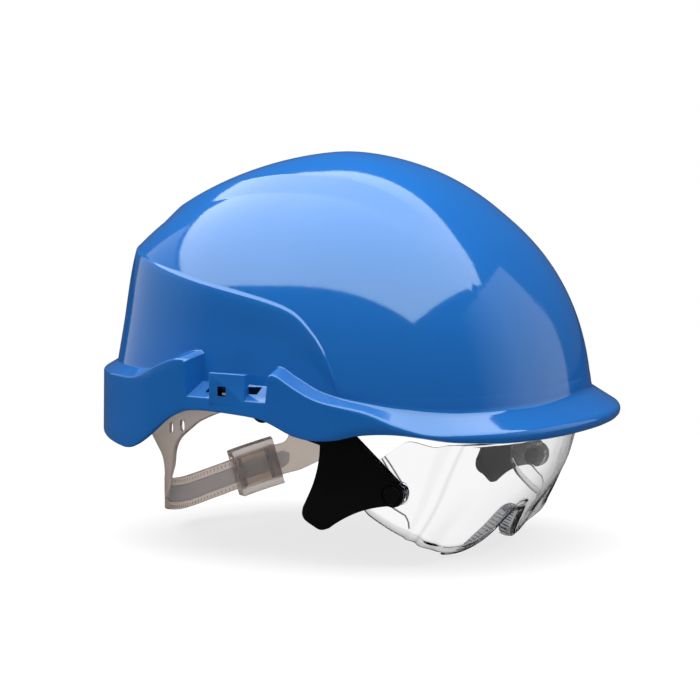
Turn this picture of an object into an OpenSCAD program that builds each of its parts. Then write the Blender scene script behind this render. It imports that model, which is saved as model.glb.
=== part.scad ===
// Safety helmet with a retractable clear eye shield.
// X points to the front, Y to the wearer's left, Z up; millimetres.
// The origin is the middle of the head opening.

/* [Shell] */
// Wall thickness of the shell
shell_wall = 2.6; // [2:0.1:4]
// Height of the dome above the origin, without the crown band
crown_height = 148; // [135:1:165]
// Middle of the dome along X
dome_centre = 8; // [0:1:15]
// From the middle of the dome to its front
dome_front = 123; // [115:1:135]
// From the middle of the dome to the foot of its back wall
dome_back = 123; // [112:1:132]
// Half the width of the dome at its foot
dome_half_width = 104; // [100:0.5:112]
// How far the upper dome would run out past the foot of the back wall
back_bulge = 20; // [12:1:26]
// How far the upper dome would run out past the foot of the side wall
side_bulge = 5; // [2:0.5:9]
// Half the width of the raised band over the crown
crown_band = 38; // [30:1:46]
// Width of the slope at the edge of the crown band
crown_slope = 12; // [8:1:16]
// How far the crown band stands up
crown_rise = 2.2; // [1:0.1:3]
// How far the lower wall stands out below the crease
crease_step = 1.1; // [0.6:0.1:1.6]
// How far the skirt band stands out from the wall
skirt_out = 6; // [4:0.5:9]
// How far the peak stands out from the dome at the front
peak_out = 16; // [12:1:30]

/* [Accessory slots] */
// Front end of the notch in the skirt band along X
notch_front = 25; // [20:1:30]
// Back end of the notch in the skirt band along X
notch_back = -23; // [-28:1:-18]
// Height of the notch floor
notch_floor = 33; // [30:0.5:36]
// Width of the slot along X
slot_width = 30; // [26:1:34]
// Gap of the slot between wall and bridge block
slot_gap = 5; // [4.5:0.1:6]
// Width of the bridge block along X
block_width = 21; // [16:1:24]
// Thickness of the bridge block
block_thick = 3.4; // [2.5:0.1:4]
// Height of the top of the bridge block
block_top = 45; // [42:0.5:48]
// Side of the square window in the bridge block
window_side = 4.6; // [3:0.2:6]

/* [Eye shield hinge] */
// Hinge axis along X
hinge_x = 14; // [10:0.5:18]
// Hinge axis height
hinge_z = 28; // [26:0.5:30]
// Gap between the top of the mount plate and the shell wall
mount_gap = 0.56; // [0.4:0.02:1.2]
// Thickness of the mount plate
mount_thick = 3; // [2:0.1:4]
// Radius of the round end of the mount plate
mount_radius = 6.5; // [6:0.5:9]
// How far the mount plate rises above the hinge axis
mount_rise = 13.5; // [12:0.5:15]
// Radius of the hinge pin
hinge_pin_radius = 2; // [1.5:0.1:2.5]
// Radius of the hinge pin's head
hinge_head_radius = 4.8; // [4:0.1:6]
// Thickness of the hinge pin's head
hinge_head_thick = 2.2; // [1.5:0.1:3]
// Thickness of the friction washer
washer_thick = 1; // [0.5:0.1:1.5]
// Radius of the friction washer
washer_radius = 5.6; // [5:0.1:7]
// Thickness of the hub of the arm
hub_thick = 3.8; // [3:0.1:5]
// Radius of the hub of the arm
hub_radius = 6; // [5.5:0.5:8]
// Clearance between parts that run on each other
run_gap = 0.2; // [0.1:0.05:0.3]
// Clearance of a shaft in its bore
shaft_fit = 0.05; // [0.02:0.01:0.1]

/* [Carrier arms] */
// Thickness of the arm plate
arm_thick = 3; // [2.4:0.1:4]
// Where the plate starts to turn in along X
arm_bend = 38; // [34:1:42]
// How far the plate turns in for each millimetre along X
arm_toe = 0.33; // [0.3:0.005:0.36]
// How far the round boss at the lens end stands proud
boss_proud = 0.6; // [0.4:0.1:1]
// Radius of the round boss at the lens end
arm_boss_radius = 6.2; // [6:0.1:7]

/* [Lens] */
// Lens pivot along X
lens_pivot_x = 78.5; // [76:0.1:82]
// Lens pivot height
lens_pivot_z = -12; // [-16:0.1:-10]
// Middle of the lens wall at its pivot from the middle plane
lens_pivot_y = 75.5; // [74:0.1:77]
// Thickness of the lens
lens_wall = 2.2; // [1.6:0.1:3]
// Front of the lens along X at pivot height
lens_front = 117.5; // [114:0.1:120]
// Where the front of the lens turns into its sides, along X at pivot height
fold_x = 95; // [93:0.1:97]
// Back end of the sides of the lens along X
lens_back = 61; // [59:0.5:63]
// How far the lower part of the lens is drawn in towards the face
lens_tuck = 4.6; // [4:0.1:7]
// Radius of the round boss of the lens at its pivot
lens_boss_radius = 6; // [5:0.1:6.2]
// Radius of the stud shank
stud_radius = 2.5; // [2:0.1:3]
// Radius of the stud head
stud_head_radius = 5; // [4:0.1:6]
// Thickness of the stud head
stud_head_thick = 1.2; // [0.8:0.1:1.6]
// Thickness of the lip of the nose piece
nose_lip = 1.8; // [1.2:0.1:2.4]
// Depth of the nose piece towards the face
nose_depth = 8; // [6:0.5:12]

/* [Harness] */
// Middle of the head along X
head_centre = 2; // [-4:1:6]
// From the middle of the head to the outside of the headband at the front
band_front = 97; // [92:1:100]
// From the middle of the head to the outside of the headband at the back
band_back = 104; // [98:1:106]
// Half the outside width of the headband
band_half_width = 80.2; // [76:0.2:82]
// Thickness of the harness plastic
band_thick = 1.8; // [1.2:0.1:2.4]
// Gap between harness pieces that lie on each other
seat_gap = 0.3; // [0.2:0.05:0.5]
// Thickness of the sweatband
pad_thick = 5; // [3:0.5:7]
// Width of the woven straps
strap_width = 20; // [15:1:25]
// Thickness of the woven straps
strap_thick = 1.4; // [1:0.1:2]
// Height of the top of the woven straps
strap_top = 112; // [104:1:118]
// Height of the nape band at the back
nape_height = -35.5; // [-40:0.5:-30]
// Width of the nape band
nape_width = 17; // [14:0.5:20]
// Width of the borders of the nape band
nape_border = 3.6; // [3:0.2:4.5]
// Height of the borders of the nape band
nape_ridge = 0.7; // [0.5:0.1:1]
// Thickness of the tongue
tongue_thick = 1.2; // [0.8:0.1:1.6]
// Gap between the tongue and each border of the nape band
tongue_gap = 0.4; // [0.3:0.1:1]

/* [Buckle] */
// Where the buckle stands round the head in degrees
buckle_turn = 144; // [141:0.5:147]
// Length of the buckle along the band
buckle_length = 25; // [22:0.5:28]
// Thickness of the buckle's plates
buckle_wall = 1.6; // [1.2:0.1:2]
// Width of the buckle's upper and lower rails
buckle_rail = 3.6; // [2.4:0.2:4.4]
// Room between band and buckle
buckle_room = 0.75; // [0.6:0.05:1]

/* [Part to show] */

/* [Hidden] */
$fn = 48;
BLUE = [0.07, 0.33, 0.72];
BLACK = [0.05, 0.05, 0.06];
SMOKE = [0.72, 0.70, 0.66];
GREY = [0.45, 0.46, 0.47];
CLEAR = [0.85, 0.9, 0.92, 0.35];
WEB = [0.3, 0.31, 0.33];

// Plan exponent of the dome, and the two exponents of its profile
plan_power = 2.45;
rise_power = 2.7;
run_power = 1.7;
// Round the shell, 0 is the front and 180 the back
Z_BOTTOM = [[0, 14.2], [25, 14.6], [32, 15.5], [39, 16.7], [44, 18.6], [49, 20.1], [54, 20.4], [59, 19.4],
    [63, 17.4], [67, 16.5], [71, 16.8], [75, 18.6], [78, 21.4], [81, 24], [84, 25.6], [90, 26.6], [99, 27.4],
    [103, 27.2], [106, 26.4], [109, 24.2], [112.5, 20.4], [117, 13.4], [120, 9.3], [123.5, 5.7], [128, 3],
    [133, 3.3], [140, 4.5], [150, 6.5], [165, 8.5], [180, 9.3]];
Z_SKIRT = [[0, 22], [20, 22], [37, 22.5], [50, 25], [57, 28], [65, 32], [70, 36.5], [75, 43.5], [79, 48.5],
    [90, 52], [104, 52.5], [113, 51], [124, 47], [137, 39], [155, 34], [180, 35]];
Z_CREASE = [[0, 37], [58, 37], [65, 42], [70, 58], [75, 69], [81, 77], [90, 83],
    [111, 89], [130, 94], [180, 100]];
OUT = [[0, 1], [30, 0.88], [47, 0.5], [60, 0.14], [75, 0], [130, 0], [156, -0.25], [180, -0.27]];
LEDGE = [[0, 7], [40, 6.5], [60, 4.5], [180, 4]];
side_extra = 2.4;
dome_side_full = dome_half_width + side_bulge;
dome_back_full = dome_back + back_bulge;
tongue_width = nape_width - 2 * nape_border - 2 * tongue_gap;
lens_out_face = lens_pivot_y + arm_toe * lens_boss_radius + lens_wall / 2 + 0.2;
arm_in_face = lens_out_face + run_gap;
lens_boss_in = lens_pivot_y - lens_wall / 2 - 1.7;
slot_mid = (notch_front + notch_back) / 2 + 1;

function smooth(a, b, x) = let (t = min(1, max(0, (x - a) / (b - a)))) t * t * (3 - 2 * t);
function mix(a, b, t) = a + (b - a) * t;
// A curve through the points of a short list, level at both ends
function tangent(p, k) = (k == 0 || k == len(p) - 1) ? 0
    : (p[k + 1][1] - p[k - 1][1]) / (p[k + 1][0] - p[k - 1][0]);
function curve(p, x) = let (
        k = max([for (i = [0:len(p) - 2]) if (x >= p[i][0] || i == 0) i]),
        h = p[k + 1][0] - p[k][0],
        t = (x - p[k][0]) / h)
    p[k][1] * (1 + 2 * t) * (1 - t) * (1 - t) + tangent(p, k) * h * t * (1 - t) * (1 - t)
    + p[k + 1][1] * t * t * (3 - 2 * t) + tangent(p, k + 1) * h * t * t * (t - 1);
function plan(a, b, t) = 1 / pow(pow(abs(cos(t)) / a, plan_power)
    + pow(abs(sin(t)) / b, plan_power), 1 / plan_power);

// Closed rows of points joined into one solid, with a fan over each end
function skin_faces(m, n) = concat(
    [for (j = [0:m - 2]) for (i = [0:n - 1]) [j * n + i, j * n + (i + 1) % n, (j + 1) * n + (i + 1) % n]],
    [for (j = [0:m - 2]) for (i = [0:n - 1]) [j * n + i, (j + 1) * n + (i + 1) % n, (j + 1) * n + i]],
    [for (i = [0:n - 1]) [m * n, (i + 1) % n, i]],
    [for (i = [0:n - 1]) [m * n + 1, (m - 1) * n + i, (m - 1) * n + (i + 1) % n]]);
function middle(row) = [for (c = [0:2]) let (s = [for (p = row) p[c]]) sum(s) / len(s)];
function sum(v, i = 0) = i == len(v) ? 0 : v[i] + sum(v, i + 1);
module skin(rows, first = undef, last = undef) {
    m = len(rows);
    n = len(rows[0]);
    a = is_undef(first) ? middle(rows[0]) : first;
    b = is_undef(last) ? middle(rows[m - 1]) : last;
    polyhedron(concat([for (r = rows) each r], [a, b]), skin_faces(m, n), convexity = 8);
}
// The same, with the last row joined to the first
module loop(rows) {
    m = len(rows);
    n = len(rows[0]);
    polyhedron([for (r = rows) each r], concat(
        [for (j = [0:m - 1]) for (i = [0:n - 1])
            [j * n + i, j * n + (i + 1) % n, ((j + 1) % m) * n + (i + 1) % n]],
        [for (j = [0:m - 1]) for (i = [0:n - 1])
            [j * n + i, ((j + 1) % m) * n + (i + 1) % n, ((j + 1) % m) * n + i]]), convexity = 8);
}
module both_sides() {
    children();
    mirror([0, 1, 0]) children();
}
module right_side() {
    mirror([0, 1, 0]) children();
}

// Shell: the upper dome is cut by a straight wall below the crease
function dome_height(z) = pow(1 - pow(min(1, max(0, z) / crown_height), rise_power), 1 / run_power);
function full(t) = plan(t < 90 ? dome_front : dome_back_full, dome_side_full, t);
function foot(t) = mix(full(t) * dome_height(30),
    plan(t < 90 ? dome_front : dome_back, dome_half_width, t), smooth(62, 95, t));
function crease(t) = curve(Z_CREASE, t);
function dome_at(t, z) = full(t) * dome_height(z);
function wall_at(t, z) = let (zc = crease(t)) z >= zc ? dome_at(t, z)
    : mix(dome_at(t, zc), foot(t), pow((zc - z) / (zc - 20), 0.85));
function step_at(t, z) = let (d = crease(t) - z) crease_step * smooth(57, 68, t) * smooth(0, 1.6, d)
    * (1 - smooth(0.1, 0.75, d / (crease(t) - curve(Z_SKIRT, t) - 4)));
function in_notch(t) = let (x = dome_centre + (dome_half_width + skirt_out) / tan(t)) t > 70 && t < 130
    && x > notch_back && x < notch_front;
function skirt_top(t) = in_notch(t) ? notch_floor : curve(Z_SKIRT, t);
function ledge_top(t) = skirt_top(t) + (in_notch(t) ? 1.2 : curve(LEDGE, t));
function skirt_at(t) = foot(t) + mix(skirt_out, peak_out, curve(OUT, t))
    + side_extra * smooth(72, 84, t) * (1 - smooth(116, 132, t));
function slope(t, z) = (dome_at(t, z + 0.5) - dome_at(t, z - 0.5));
function dome_z(t, r) = crown_height * pow(max(0, 1 - pow(r / full(t), run_power)), 1 / rise_power);
function oval(a, b, t) = 1 / pow(pow(cos(t) / a, 4) + pow(sin(t) / b, 4), 0.25);
function band_edge(t) = oval(t < 90 ? 104 : 94, crown_band, t);
function band_foot(t) = oval((t < 90 ? 104 : 94) + 4, crown_band + crown_slope, t);
function upper_rows(t, parts) = let (rc = dome_at(t, crease(t)), ro = band_foot(t))
    [for (g = parts) mix(ro, rc, cos(90 * g))];
function outer_profile(t) = let (s = skirt_at(t), zb = curve(Z_BOTTOM, t), zt = skirt_top(t),
        zl = ledge_top(t), zc = crease(t))
    concat([[s - 1.2, zb], [s, zb + 1.5], [s - 0.4, zt - 1.4], [s - 1.6, zt]],
        [[wall_at(t, zl) + 0.5, zl - 0.2]],
        [for (f = [0.06, 0.36, 0.72]) let (z = mix(zl, zc - 1.8, f)) [wall_at(t, z) + step_at(t, z), z]],
        [for (z = [zc - 1.6, zc]) [wall_at(t, z) + step_at(t, z), z]],
        [for (r = upper_rows(t, [0.2, 0.4, 0.6, 0.8, 1])) [r, dome_z(t, r)]],
        [for (f = [1, 0.8, 0.55, 0.28]) let (r = band_edge(t) * f) [r, dome_z(t, r) + crown_rise]]);
function inside_of(t, r, w) = let (d = dome_z(t, r + 0.5) - dome_z(t, r - 0.5), k = w / sqrt(1 + d * d))
    [r + k * d, dome_z(t, r) - k];
function inner_profile(t) = let (s = skirt_at(t), w = shell_wall, zb = curve(Z_BOTTOM, t),
        zt = skirt_top(t), zl = ledge_top(t), zc = crease(t))
    concat([[s - w, zb], [s - w, zt - w], [wall_at(t, zl) - w, zl - w * 0.85]],
        [for (f = [0.35, 0.7]) let (z = mix(zl, zc, f)) [wall_at(t, z) - w, z]],
        [for (r = upper_rows(t, [0, 0.2, 0.4, 0.6, 0.8, 1])) inside_of(t, r, w)],
        [for (f = [0.95, 0.5]) inside_of(t, band_edge(t) * f, w) + [0, crown_rise]]);
function around(t, p) = [dome_centre + p[0] * cos(t), p[0] * sin(t), p[1]];
notch_turns = [for (x = [notch_front, notch_back]) atan2(dome_half_width + skirt_out, x - dome_centre)];
even_turns = [for (t = [0:4.5:180]) if (min([for (n = notch_turns) abs(t - n)]) > 1.2) t];
half_turns = concat(
    [for (t = even_turns) if (t < notch_turns[0]) t],
    [notch_turns[0] - 0.4, notch_turns[0] + 0.4],
    [for (t = even_turns) if (t > notch_turns[0] && t < notch_turns[1]) t],
    [notch_turns[1] - 0.4, notch_turns[1] + 0.4],
    [for (t = even_turns) if (t > notch_turns[1]) t]);
turns = concat(half_turns, [for (k = [len(half_turns) - 2:-1:1]) -half_turns[k]]);

module shell_skin() {
    outs = [for (t = turns) outer_profile(abs(t))];
    ins = [for (t = turns) inner_profile(abs(t))];
    no = len(outs[0]);
    ni = len(ins[0]);
    rows = concat(
        [for (j = [no - 1:-1:0]) [for (k = [0:len(turns) - 1]) around(turns[k], outs[k][j])]],
        [for (j = [0:ni - 1]) [for (k = [0:len(turns) - 1]) around(turns[k], ins[k][j])]]);
    top = crown_height + crown_rise;
    skin(rows, [dome_centre, 0, top], [dome_centre, 0, top - shell_wall]);
}
slot_in = wall_at(90, notch_floor + 3) + 0.6;
module shell() color(BLUE) difference() {
    union() {
        shell_skin();
        both_sides() translate([slot_mid - block_width / 2, slot_in + slot_gap, notch_floor - 2.2])
            cube([block_width, block_thick, block_top - notch_floor + 2.2]);
    }
    both_sides() {
        translate([slot_mid - slot_width / 2, slot_in, notch_floor - 8]) cube([slot_width, slot_gap, 16]);
        translate([slot_mid - window_side / 2, slot_in + slot_gap - 1, notch_floor + 2.5])
            cube([window_side, block_thick + 2, window_side]);
    }
}

// Mount plates and hinge, drawn for the left side, stacked inwards from the shell wall
mount_outer = wall_at(90, hinge_z + mount_rise) - shell_wall - mount_gap;
mount_face = mount_outer - mount_thick;
hub_outer = mount_face - washer_thick - 2 * run_gap;
hub_inner = hub_outer - hub_thick;
module turned(y) {
    translate([hinge_x, y, hinge_z]) rotate([-90, 0, 0]) children();
}
module visor_mount() {
    difference() {
        union() {
            turned(mount_face) cylinder(r = mount_radius, h = mount_thick);
            translate([hinge_x - 9, mount_face, hinge_z]) cube([18, mount_thick, mount_rise]);
        }
        turned(mount_face - 1) cylinder(r = hinge_pin_radius + shaft_fit, h = mount_thick + 2);
    }
}
module visor_mount_left() color(BLACK) visor_mount();
module visor_mount_right() color(BLACK) right_side() visor_mount();
module hinge_pin() {
    turned(hub_inner - run_gap) cylinder(r = hinge_pin_radius, h = mount_outer - hub_inner + run_gap);
    turned(hub_inner - run_gap - hinge_head_thick) cylinder(r = hinge_head_radius, h = hinge_head_thick);
}
module hinge_pin_left() color(BLACK) hinge_pin();
module hinge_pin_right() color(BLACK) right_side() hinge_pin();
module friction_washer() difference() {
    turned(mount_face - run_gap - washer_thick) cylinder(r = washer_radius, h = washer_thick);
    turned(mount_face - 4) cylinder(r = hinge_pin_radius + shaft_fit, h = 8);
}
module friction_washer_left() color(GREY) friction_washer();
module friction_washer_right() color(GREY) right_side() friction_washer();

// Carrier arm: its side outline, bent in plan
module arm_outline() {
    hull() {
        translate([hinge_x, hinge_z]) circle(hub_radius);
        translate([50, 17]) circle(7);
    }
    difference() {
        hull() {
            translate([50, 17]) circle(7);
            translate([39, -22.5]) circle(4.5);
            translate([44.5, -26.5]) circle(4.2);
            translate([lens_pivot_x, lens_pivot_z]) circle(arm_boss_radius - 0.2);
        }
        translate([81.6, -72]) circle(54.5, $fn = 90);
        translate([-21.3, 13]) circle(65, $fn = 120);
    }
}
module arm_bend_plan() {
    far = 100;
    drop = arm_toe * (far - arm_bend);
    in_thick = arm_thick * sqrt(1 + arm_toe * arm_toe);
    polygon([[-5, hub_outer], [arm_bend, hub_outer], [far, hub_outer - drop],
        [far, hub_outer - drop - in_thick], [arm_bend, hub_outer - arm_thick], [-5, hub_outer - arm_thick]]);
}
module carrier_arm() {
    face = hub_outer - arm_toe * (lens_pivot_x - arm_bend);
    difference() {
        union() {
            intersection() {
                translate([0, hub_outer + 5, 0]) rotate([90, 0, 0])
                    linear_extrude(hub_outer - 45) arm_outline();
                translate([0, 0, -60]) linear_extrude(120) arm_bend_plan();
            }
            turned(hub_inner) cylinder(r = hub_radius - 1, h = hub_thick - 1);
            translate([lens_pivot_x, arm_in_face, lens_pivot_z]) rotate([-90, 0, 0])
                cylinder(r = arm_boss_radius, h = face + boss_proud - arm_in_face);
        }
        turned(hub_inner - 5) cylinder(r = hinge_pin_radius + shaft_fit, h = hub_thick + 10);
        translate([lens_pivot_x, 60, lens_pivot_z]) rotate([-90, 0, 0]) {
            cylinder(r = stud_radius + shaft_fit, h = face - 50);
            cylinder(r = lens_boss_radius + 0.5, h = arm_in_face - 60);
            translate([0, 0, face + boss_proud - 60]) cylinder(r = stud_head_radius + 0.5, h = 20);
        }
    }
}
module carrier_arm_left() color(BLACK) carrier_arm();
module carrier_arm_right() color(BLACK) right_side() carrier_arm();
module lens_button() {
    face = hub_outer - arm_toe * (lens_pivot_x - arm_bend) + boss_proud;
    inner = lens_pivot_y - lens_wall / 2 - 2.3;
    translate([lens_pivot_x, 0, lens_pivot_z]) rotate([-90, 0, 0]) {
        translate([0, 0, face + shaft_fit])
            cylinder(r1 = stud_head_radius, r2 = stud_head_radius - 0.6, h = stud_head_thick);
        translate([0, 0, inner]) cylinder(r = stud_radius, h = face - inner + 0.5);
        translate([0, 0, inner - 1.4]) cylinder(r = stud_radius + 1.8, h = 1.4);
    }
}
module lens_button_left() color(BLACK) lens_button();
module lens_button_right() color(BLACK) right_side() lens_button();

// Lens: stations from the nose to the back end of the side shield
function side_y(x) = lens_pivot_y + arm_toe * (lens_pivot_x - x);
fold_y = side_y(fold_x);
lens_round = (pow(lens_front - fold_x, 2) + fold_y * fold_y) / (2 * (lens_front - fold_x));
function lens_x(y) = lens_front - lens_round + sqrt(lens_round * lens_round - y * y);
front_steps = [0, 3, 6, 9, 11.5, 14.5, 19, 24.5, 31.5, 39.5, 46, 53, 59.5, fold_y - 6];
fold_from = [lens_x(fold_y - 6), fold_y - 6];
fold_to = [fold_x - 6, side_y(fold_x - 6)];
function fold_step(s) = fold_from * (1 - s) * (1 - s) + [fold_x, fold_y] * 2 * s * (1 - s) + fold_to * s * s;
side_steps = [fold_x - 6, 84, lens_pivot_x, 74, 69, 65, 63, lens_back];
half_plan = concat([for (y = front_steps) [lens_x(y), y]], [fold_step(0.35), fold_step(0.65)],
    [for (x = side_steps) [x, side_y(x)]]);
// Heights along the stations: lower and upper edge
LENS_LOW = [[0, -26.6], [3, -26.8], [6, -27.8], [9, -31.8], [11.5, -36], [14.5, -39.6], [19, -42.9],
    [24.5, -45.4], [31.5, -46.8], [39.5, -46.5], [46, -44.9], [59.5, -40.1], [fold_y, -35.2]];
SIDE_LOW = [[lens_back, -19], [62.5, -20.6], [64.5, -23], [68, -25.7], [74, -29.7], [79, -32.6],
    [84.5, -35.1], [95, -39]];
SIDE_HIGH = [[lens_back, -3.5], [68.4, 3.6], [72, 6.4], [81.5, 13.4], [84, 14.2], [87.7, 13.8], [92.8, 12.4],
    [97.2, 11.7], [105, 13]];
FRONT_HIGH = [[0, 11.5], [40, 12], [fold_y, 13]];
nf = len(front_steps) + 2;
lens_arc = [hinge_x, hinge_z];
lens_reach = norm([lens_front, lens_pivot_z] - lens_arc);
function lean(z) = sqrt(lens_reach * lens_reach - pow(z - lens_arc[1], 2)) - (lens_front - lens_arc[0]);
function lean_share(k) = pow(min(1, (half_plan[k][0] - lens_back) / (fold_x - lens_back)), 1.6);
function lens_shift(k, z) = let (y = half_plan[k][1])
    lean(z) * lean_share(k)
    - lens_tuck * smooth(4, 34, -z) * (k < nf ? 1 - smooth(45, fold_y - 3, y) : 0)
    + 0.008 * pow(max(0, z + 10), 2) * (k < nf ? smooth(40, fold_y, y) : lean_share(k));
function side_level(list, k) = let (x = half_plan[k][0], a = curve(list, x),
        b = curve(list, x + lens_shift(k, a)),
        c = curve(list, x + lens_shift(k, b)))
    curve(list, x + lens_shift(k, c));
function low_at(k) = k < nf ? curve(LENS_LOW, min(fold_y, half_plan[k][1])) : side_level(SIDE_LOW, k);
function high_at(k) = k < nf ? curve(FRONT_HIGH, min(fold_y, half_plan[k][1])) : side_level(SIDE_HIGH, k);
function plan_dir(k) = let (a = half_plan[max(0, k - 1)], b = half_plan[min(len(half_plan) - 1, k + 1)],
        d = k == 0 ? [0, 1] : b - a)
    [d[1], -d[0]] / norm(d);
function lens_point(k, z, off) = let (p = half_plan[k], n = plan_dir(k), d = lens_shift(k, z))
    [p[0] + n[0] * off + d, p[1] + n[1] * off - arm_toe * d * (k < nf ? smooth(48, fold_y - 2, p[1]) : 1), z];
lens_rows = [0, 0.1, 0.3, 0.5, 0.7, 0.88, 1];
function lens_section(k) = let (lo = low_at(k), hi = high_at(k)) concat(
    [for (v = lens_rows) lens_point(k, mix(lo, hi, v), lens_wall / 2)],
    [for (i = [len(lens_rows) - 1:-1:0]) lens_point(k, mix(lo, hi, lens_rows[i]), -lens_wall / 2)]);
function mirrored(p) = [p[0], -p[1], p[2]];
function flip(row) = [for (p = row) mirrored(p)];
module lens() color(CLEAR) {
    last = len(half_plan) - 1;
    rows = concat([for (k = [last:-1:1]) flip(lens_section(k))], [for (k = [0:last]) lens_section(k)]);
    difference() {
        union() {
            skin(rows);
            both_sides() translate([lens_pivot_x, lens_boss_in, lens_pivot_z]) rotate([-90, 0, 0])
                cylinder(r = lens_boss_radius, h = lens_out_face - lens_boss_in);
        }
        both_sides() translate([lens_pivot_x, 60, lens_pivot_z]) rotate([-90, 0, 0])
            cylinder(r = stud_radius + shaft_fit, h = 40);
    }
}
// Nose piece: a lip under the edge of the notch that rises towards the face
nose_last = 9;
nose_slope = 0.38;
function nose_section(k) = let (lo = low_at(k) - seat_gap, under = lens_wall / 2 + 0.15,
        grow = mix(nose_depth, under + 0.3, smooth(5, nose_last, k)), up = nose_slope * (grow - under)) [
    lens_point(k, lo, lens_wall / 2),
    lens_point(k, lo, -under),
    lens_point(k, lo, -grow) + [0, 0, up],
    lens_point(k, lo - nose_lip, -grow) + [0, 0, up],
    lens_point(k, lo - nose_lip, -under),
    lens_point(k, lo - nose_lip, lens_wall / 2)];
module nose_piece() color(CLEAR)
    skin(concat([for (k = [nose_last:-1:1]) flip(nose_section(k))],
        [for (k = [0:nose_last]) nose_section(k)]));

// Harness
function band_long(t) = abs(t) < 90 ? band_front : band_back;
function band_point(t, off, z) =
    [head_centre + (band_long(t) + off) * cos(t), (band_half_width + off) * sin(t), z];
function band_low(t) = curve([[0, 14], [40, 15], [60, 17.5], [85, 21], [110, 22], [180, 20]], abs(t));
function band_high(t) = curve([[0, 44], [60, 40], [110, 36], [180, 36]], abs(t));
module headband() color(SMOKE) loop([for (t = [-180:5:175]) [
    band_point(t, 0, band_low(t)), band_point(t, 0, band_high(t)),
    band_point(t, -band_thick, band_high(t)), band_point(t, -band_thick, band_low(t))]]);
module sweatband() color(WEB) {
    pad = pad_thick / 2;
    in = -band_thick - seat_gap - pad;
    skin([for (t = [-66:6:66]) let (e = 1 - 0.35 * pow(abs(t) / 66, 6),
            h = (band_high(t) - band_low(t)) / 2 - 1, m = (band_high(t) + band_low(t)) / 2)
        [for (a = [0:30:330]) let (deep = (cos(a) > 0 ? 1 : 1.1) * sign(cos(a)) * pow(abs(cos(a)), 0.6))
            band_point(t, in + pad * e * deep, m + h * e * sign(sin(a)) * pow(abs(sin(a)), 0.8))]]);
}

// Clips on the inside of the shell: [turn, height, half span in degrees, gap to the shell]
CLIPS = [[52, 87, 5.5, 1.1], [-52, 87, 5.5, 1.1], [118, 66, 5.5, 0.7], [-118, 66, 5.5, 0.7],
    [180, 66, 5, 0.5]];
clip_thick = 4;
function in_wall(t, z, off) = let (a = abs(t), zc = crease(a), s = z >= zc ? slope(a, z) : -0.2,
        k = shell_wall + off) around(t, [wall_at(a, z) - k * sqrt(1 + s * s), z]);
module clip(c) {
    zs = [c[1] - 11, c[1] - 6, c[1] - 1, c[1] + 3];
    skin([for (f = [-1, -0.5, 0, 0.5, 1]) let (t = c[0] + f * c[2], u = t > 180 ? t - 360 : t) concat(
        [for (z = zs) in_wall(u, z, c[3])], [for (i = [3:-1:0]) in_wall(u, zs[i], c[3] + clip_thick)])]);
}
module anchor_clips() color(BLACK) for (c = CLIPS) clip(c);

// A flat strip along a path, width across the path and level
function unit(v) = v / norm(v);
function strip_section(p, across, out, w, th) = let (s = across * w / 2, h = out * th / 2)
    [p + s - h, p - s - h, p - s + h, p + s + h];
function heading(path, k) = unit(path[min(len(path) - 1, k + 1)] - path[max(0, k - 1)]);
module strip(path, across, w, th) {
    skin([for (k = [0:len(path) - 1]) let (c = is_list(across[0]) ? across[k] : across)
        strip_section(path[k], c, unit(cross(heading(path, k), c)), w, th)]);
}
CROWN = [4, 0];
function clip_face(c, up, off) = in_wall(c[0], c[1] + up, c[3] + clip_thick + off);
arch_steps = [for (s = [0:7.5:180]) s];
function arch(a, b, top) = [for (s = arch_steps) let (e = s <= 90 ? a : b, h = abs(cos(s)))
    [mix(CROWN[0], e[0], h), mix(CROWN[1], e[1], h), mix(e[2], top, sin(s))]];
function along_wall(t) = unit(in_wall(t + 2, 70, 6) - in_wall(t - 2, 70, 6));
function to_side(v, way) = v * way < 0 ? -v : v;
module crown_strap(a, b, top, turn_a, turn_b) {
    flat = unit([a[1] - b[1], b[0] - a[0], 0]);
    ends = [to_side(along_wall(turn_a), flat), to_side(along_wall(turn_b), flat)];
    strip(arch(a, b, top), [for (s = arch_steps) unit(mix(flat, ends[s < 90 ? 0 : 1], pow(cos(s), 2)))],
        strap_width, strap_thick);
}
strap_seat = strap_thick / 2 + 1.2;
strap_layer = strap_thick + 0.7;
front_end = clip_face(CLIPS[0], 0, strap_seat + 0.5);
side_end = clip_face(CLIPS[2], 0, strap_seat);
module crown_strap_right() color(WEB)
    crown_strap(mirrored(front_end), side_end, strap_top, -CLIPS[0][0], CLIPS[2][0]);
module crown_strap_left() color(WEB)
    crown_strap(front_end, mirrored(side_end), strap_top - strap_layer, CLIPS[0][0], -CLIPS[2][0]);
back_end = clip_face(CLIPS[4], 0, strap_seat - 0.4);
brow_end = [head_centre + band_front + strap_thick / 2 + 1.7, 0, 32];
module crown_strap_centre() color(WEB) crown_strap(brow_end, back_end, strap_top - 2 * strap_layer, 0, 178);
module crown_patch() color(WEB)
    translate([CROWN[0], CROWN[1], strap_top + strap_thick / 2 + seat_gap]) cylinder(r = 17, h = 1.4);

// Hangers from each clip down to the headband
hanger_thick = 1.6;
module hanger(c) {
    a = clip_face(c, -3, hanger_thick / 2 + 0.7);
    t = c[0];
    w = atan2(a[1] / band_half_width, (a[0] - head_centre) / band_long(t));
    foot_low = band_point(w, seat_gap + hanger_thick / 2, yoke_top + 1.5);
    foot_high = band_point(w, seat_gap + hanger_thick / 2, band_high(w) + 1);
    across = unit([-band_long(t) * sin(w), band_half_width * cos(w), 0]);
    strip([a, mix(a, foot_high, 0.5), foot_high, foot_low], across, 13, hanger_thick);
}
module headband_hangers() color(SMOKE) for (c = CLIPS) hanger(c);

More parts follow.
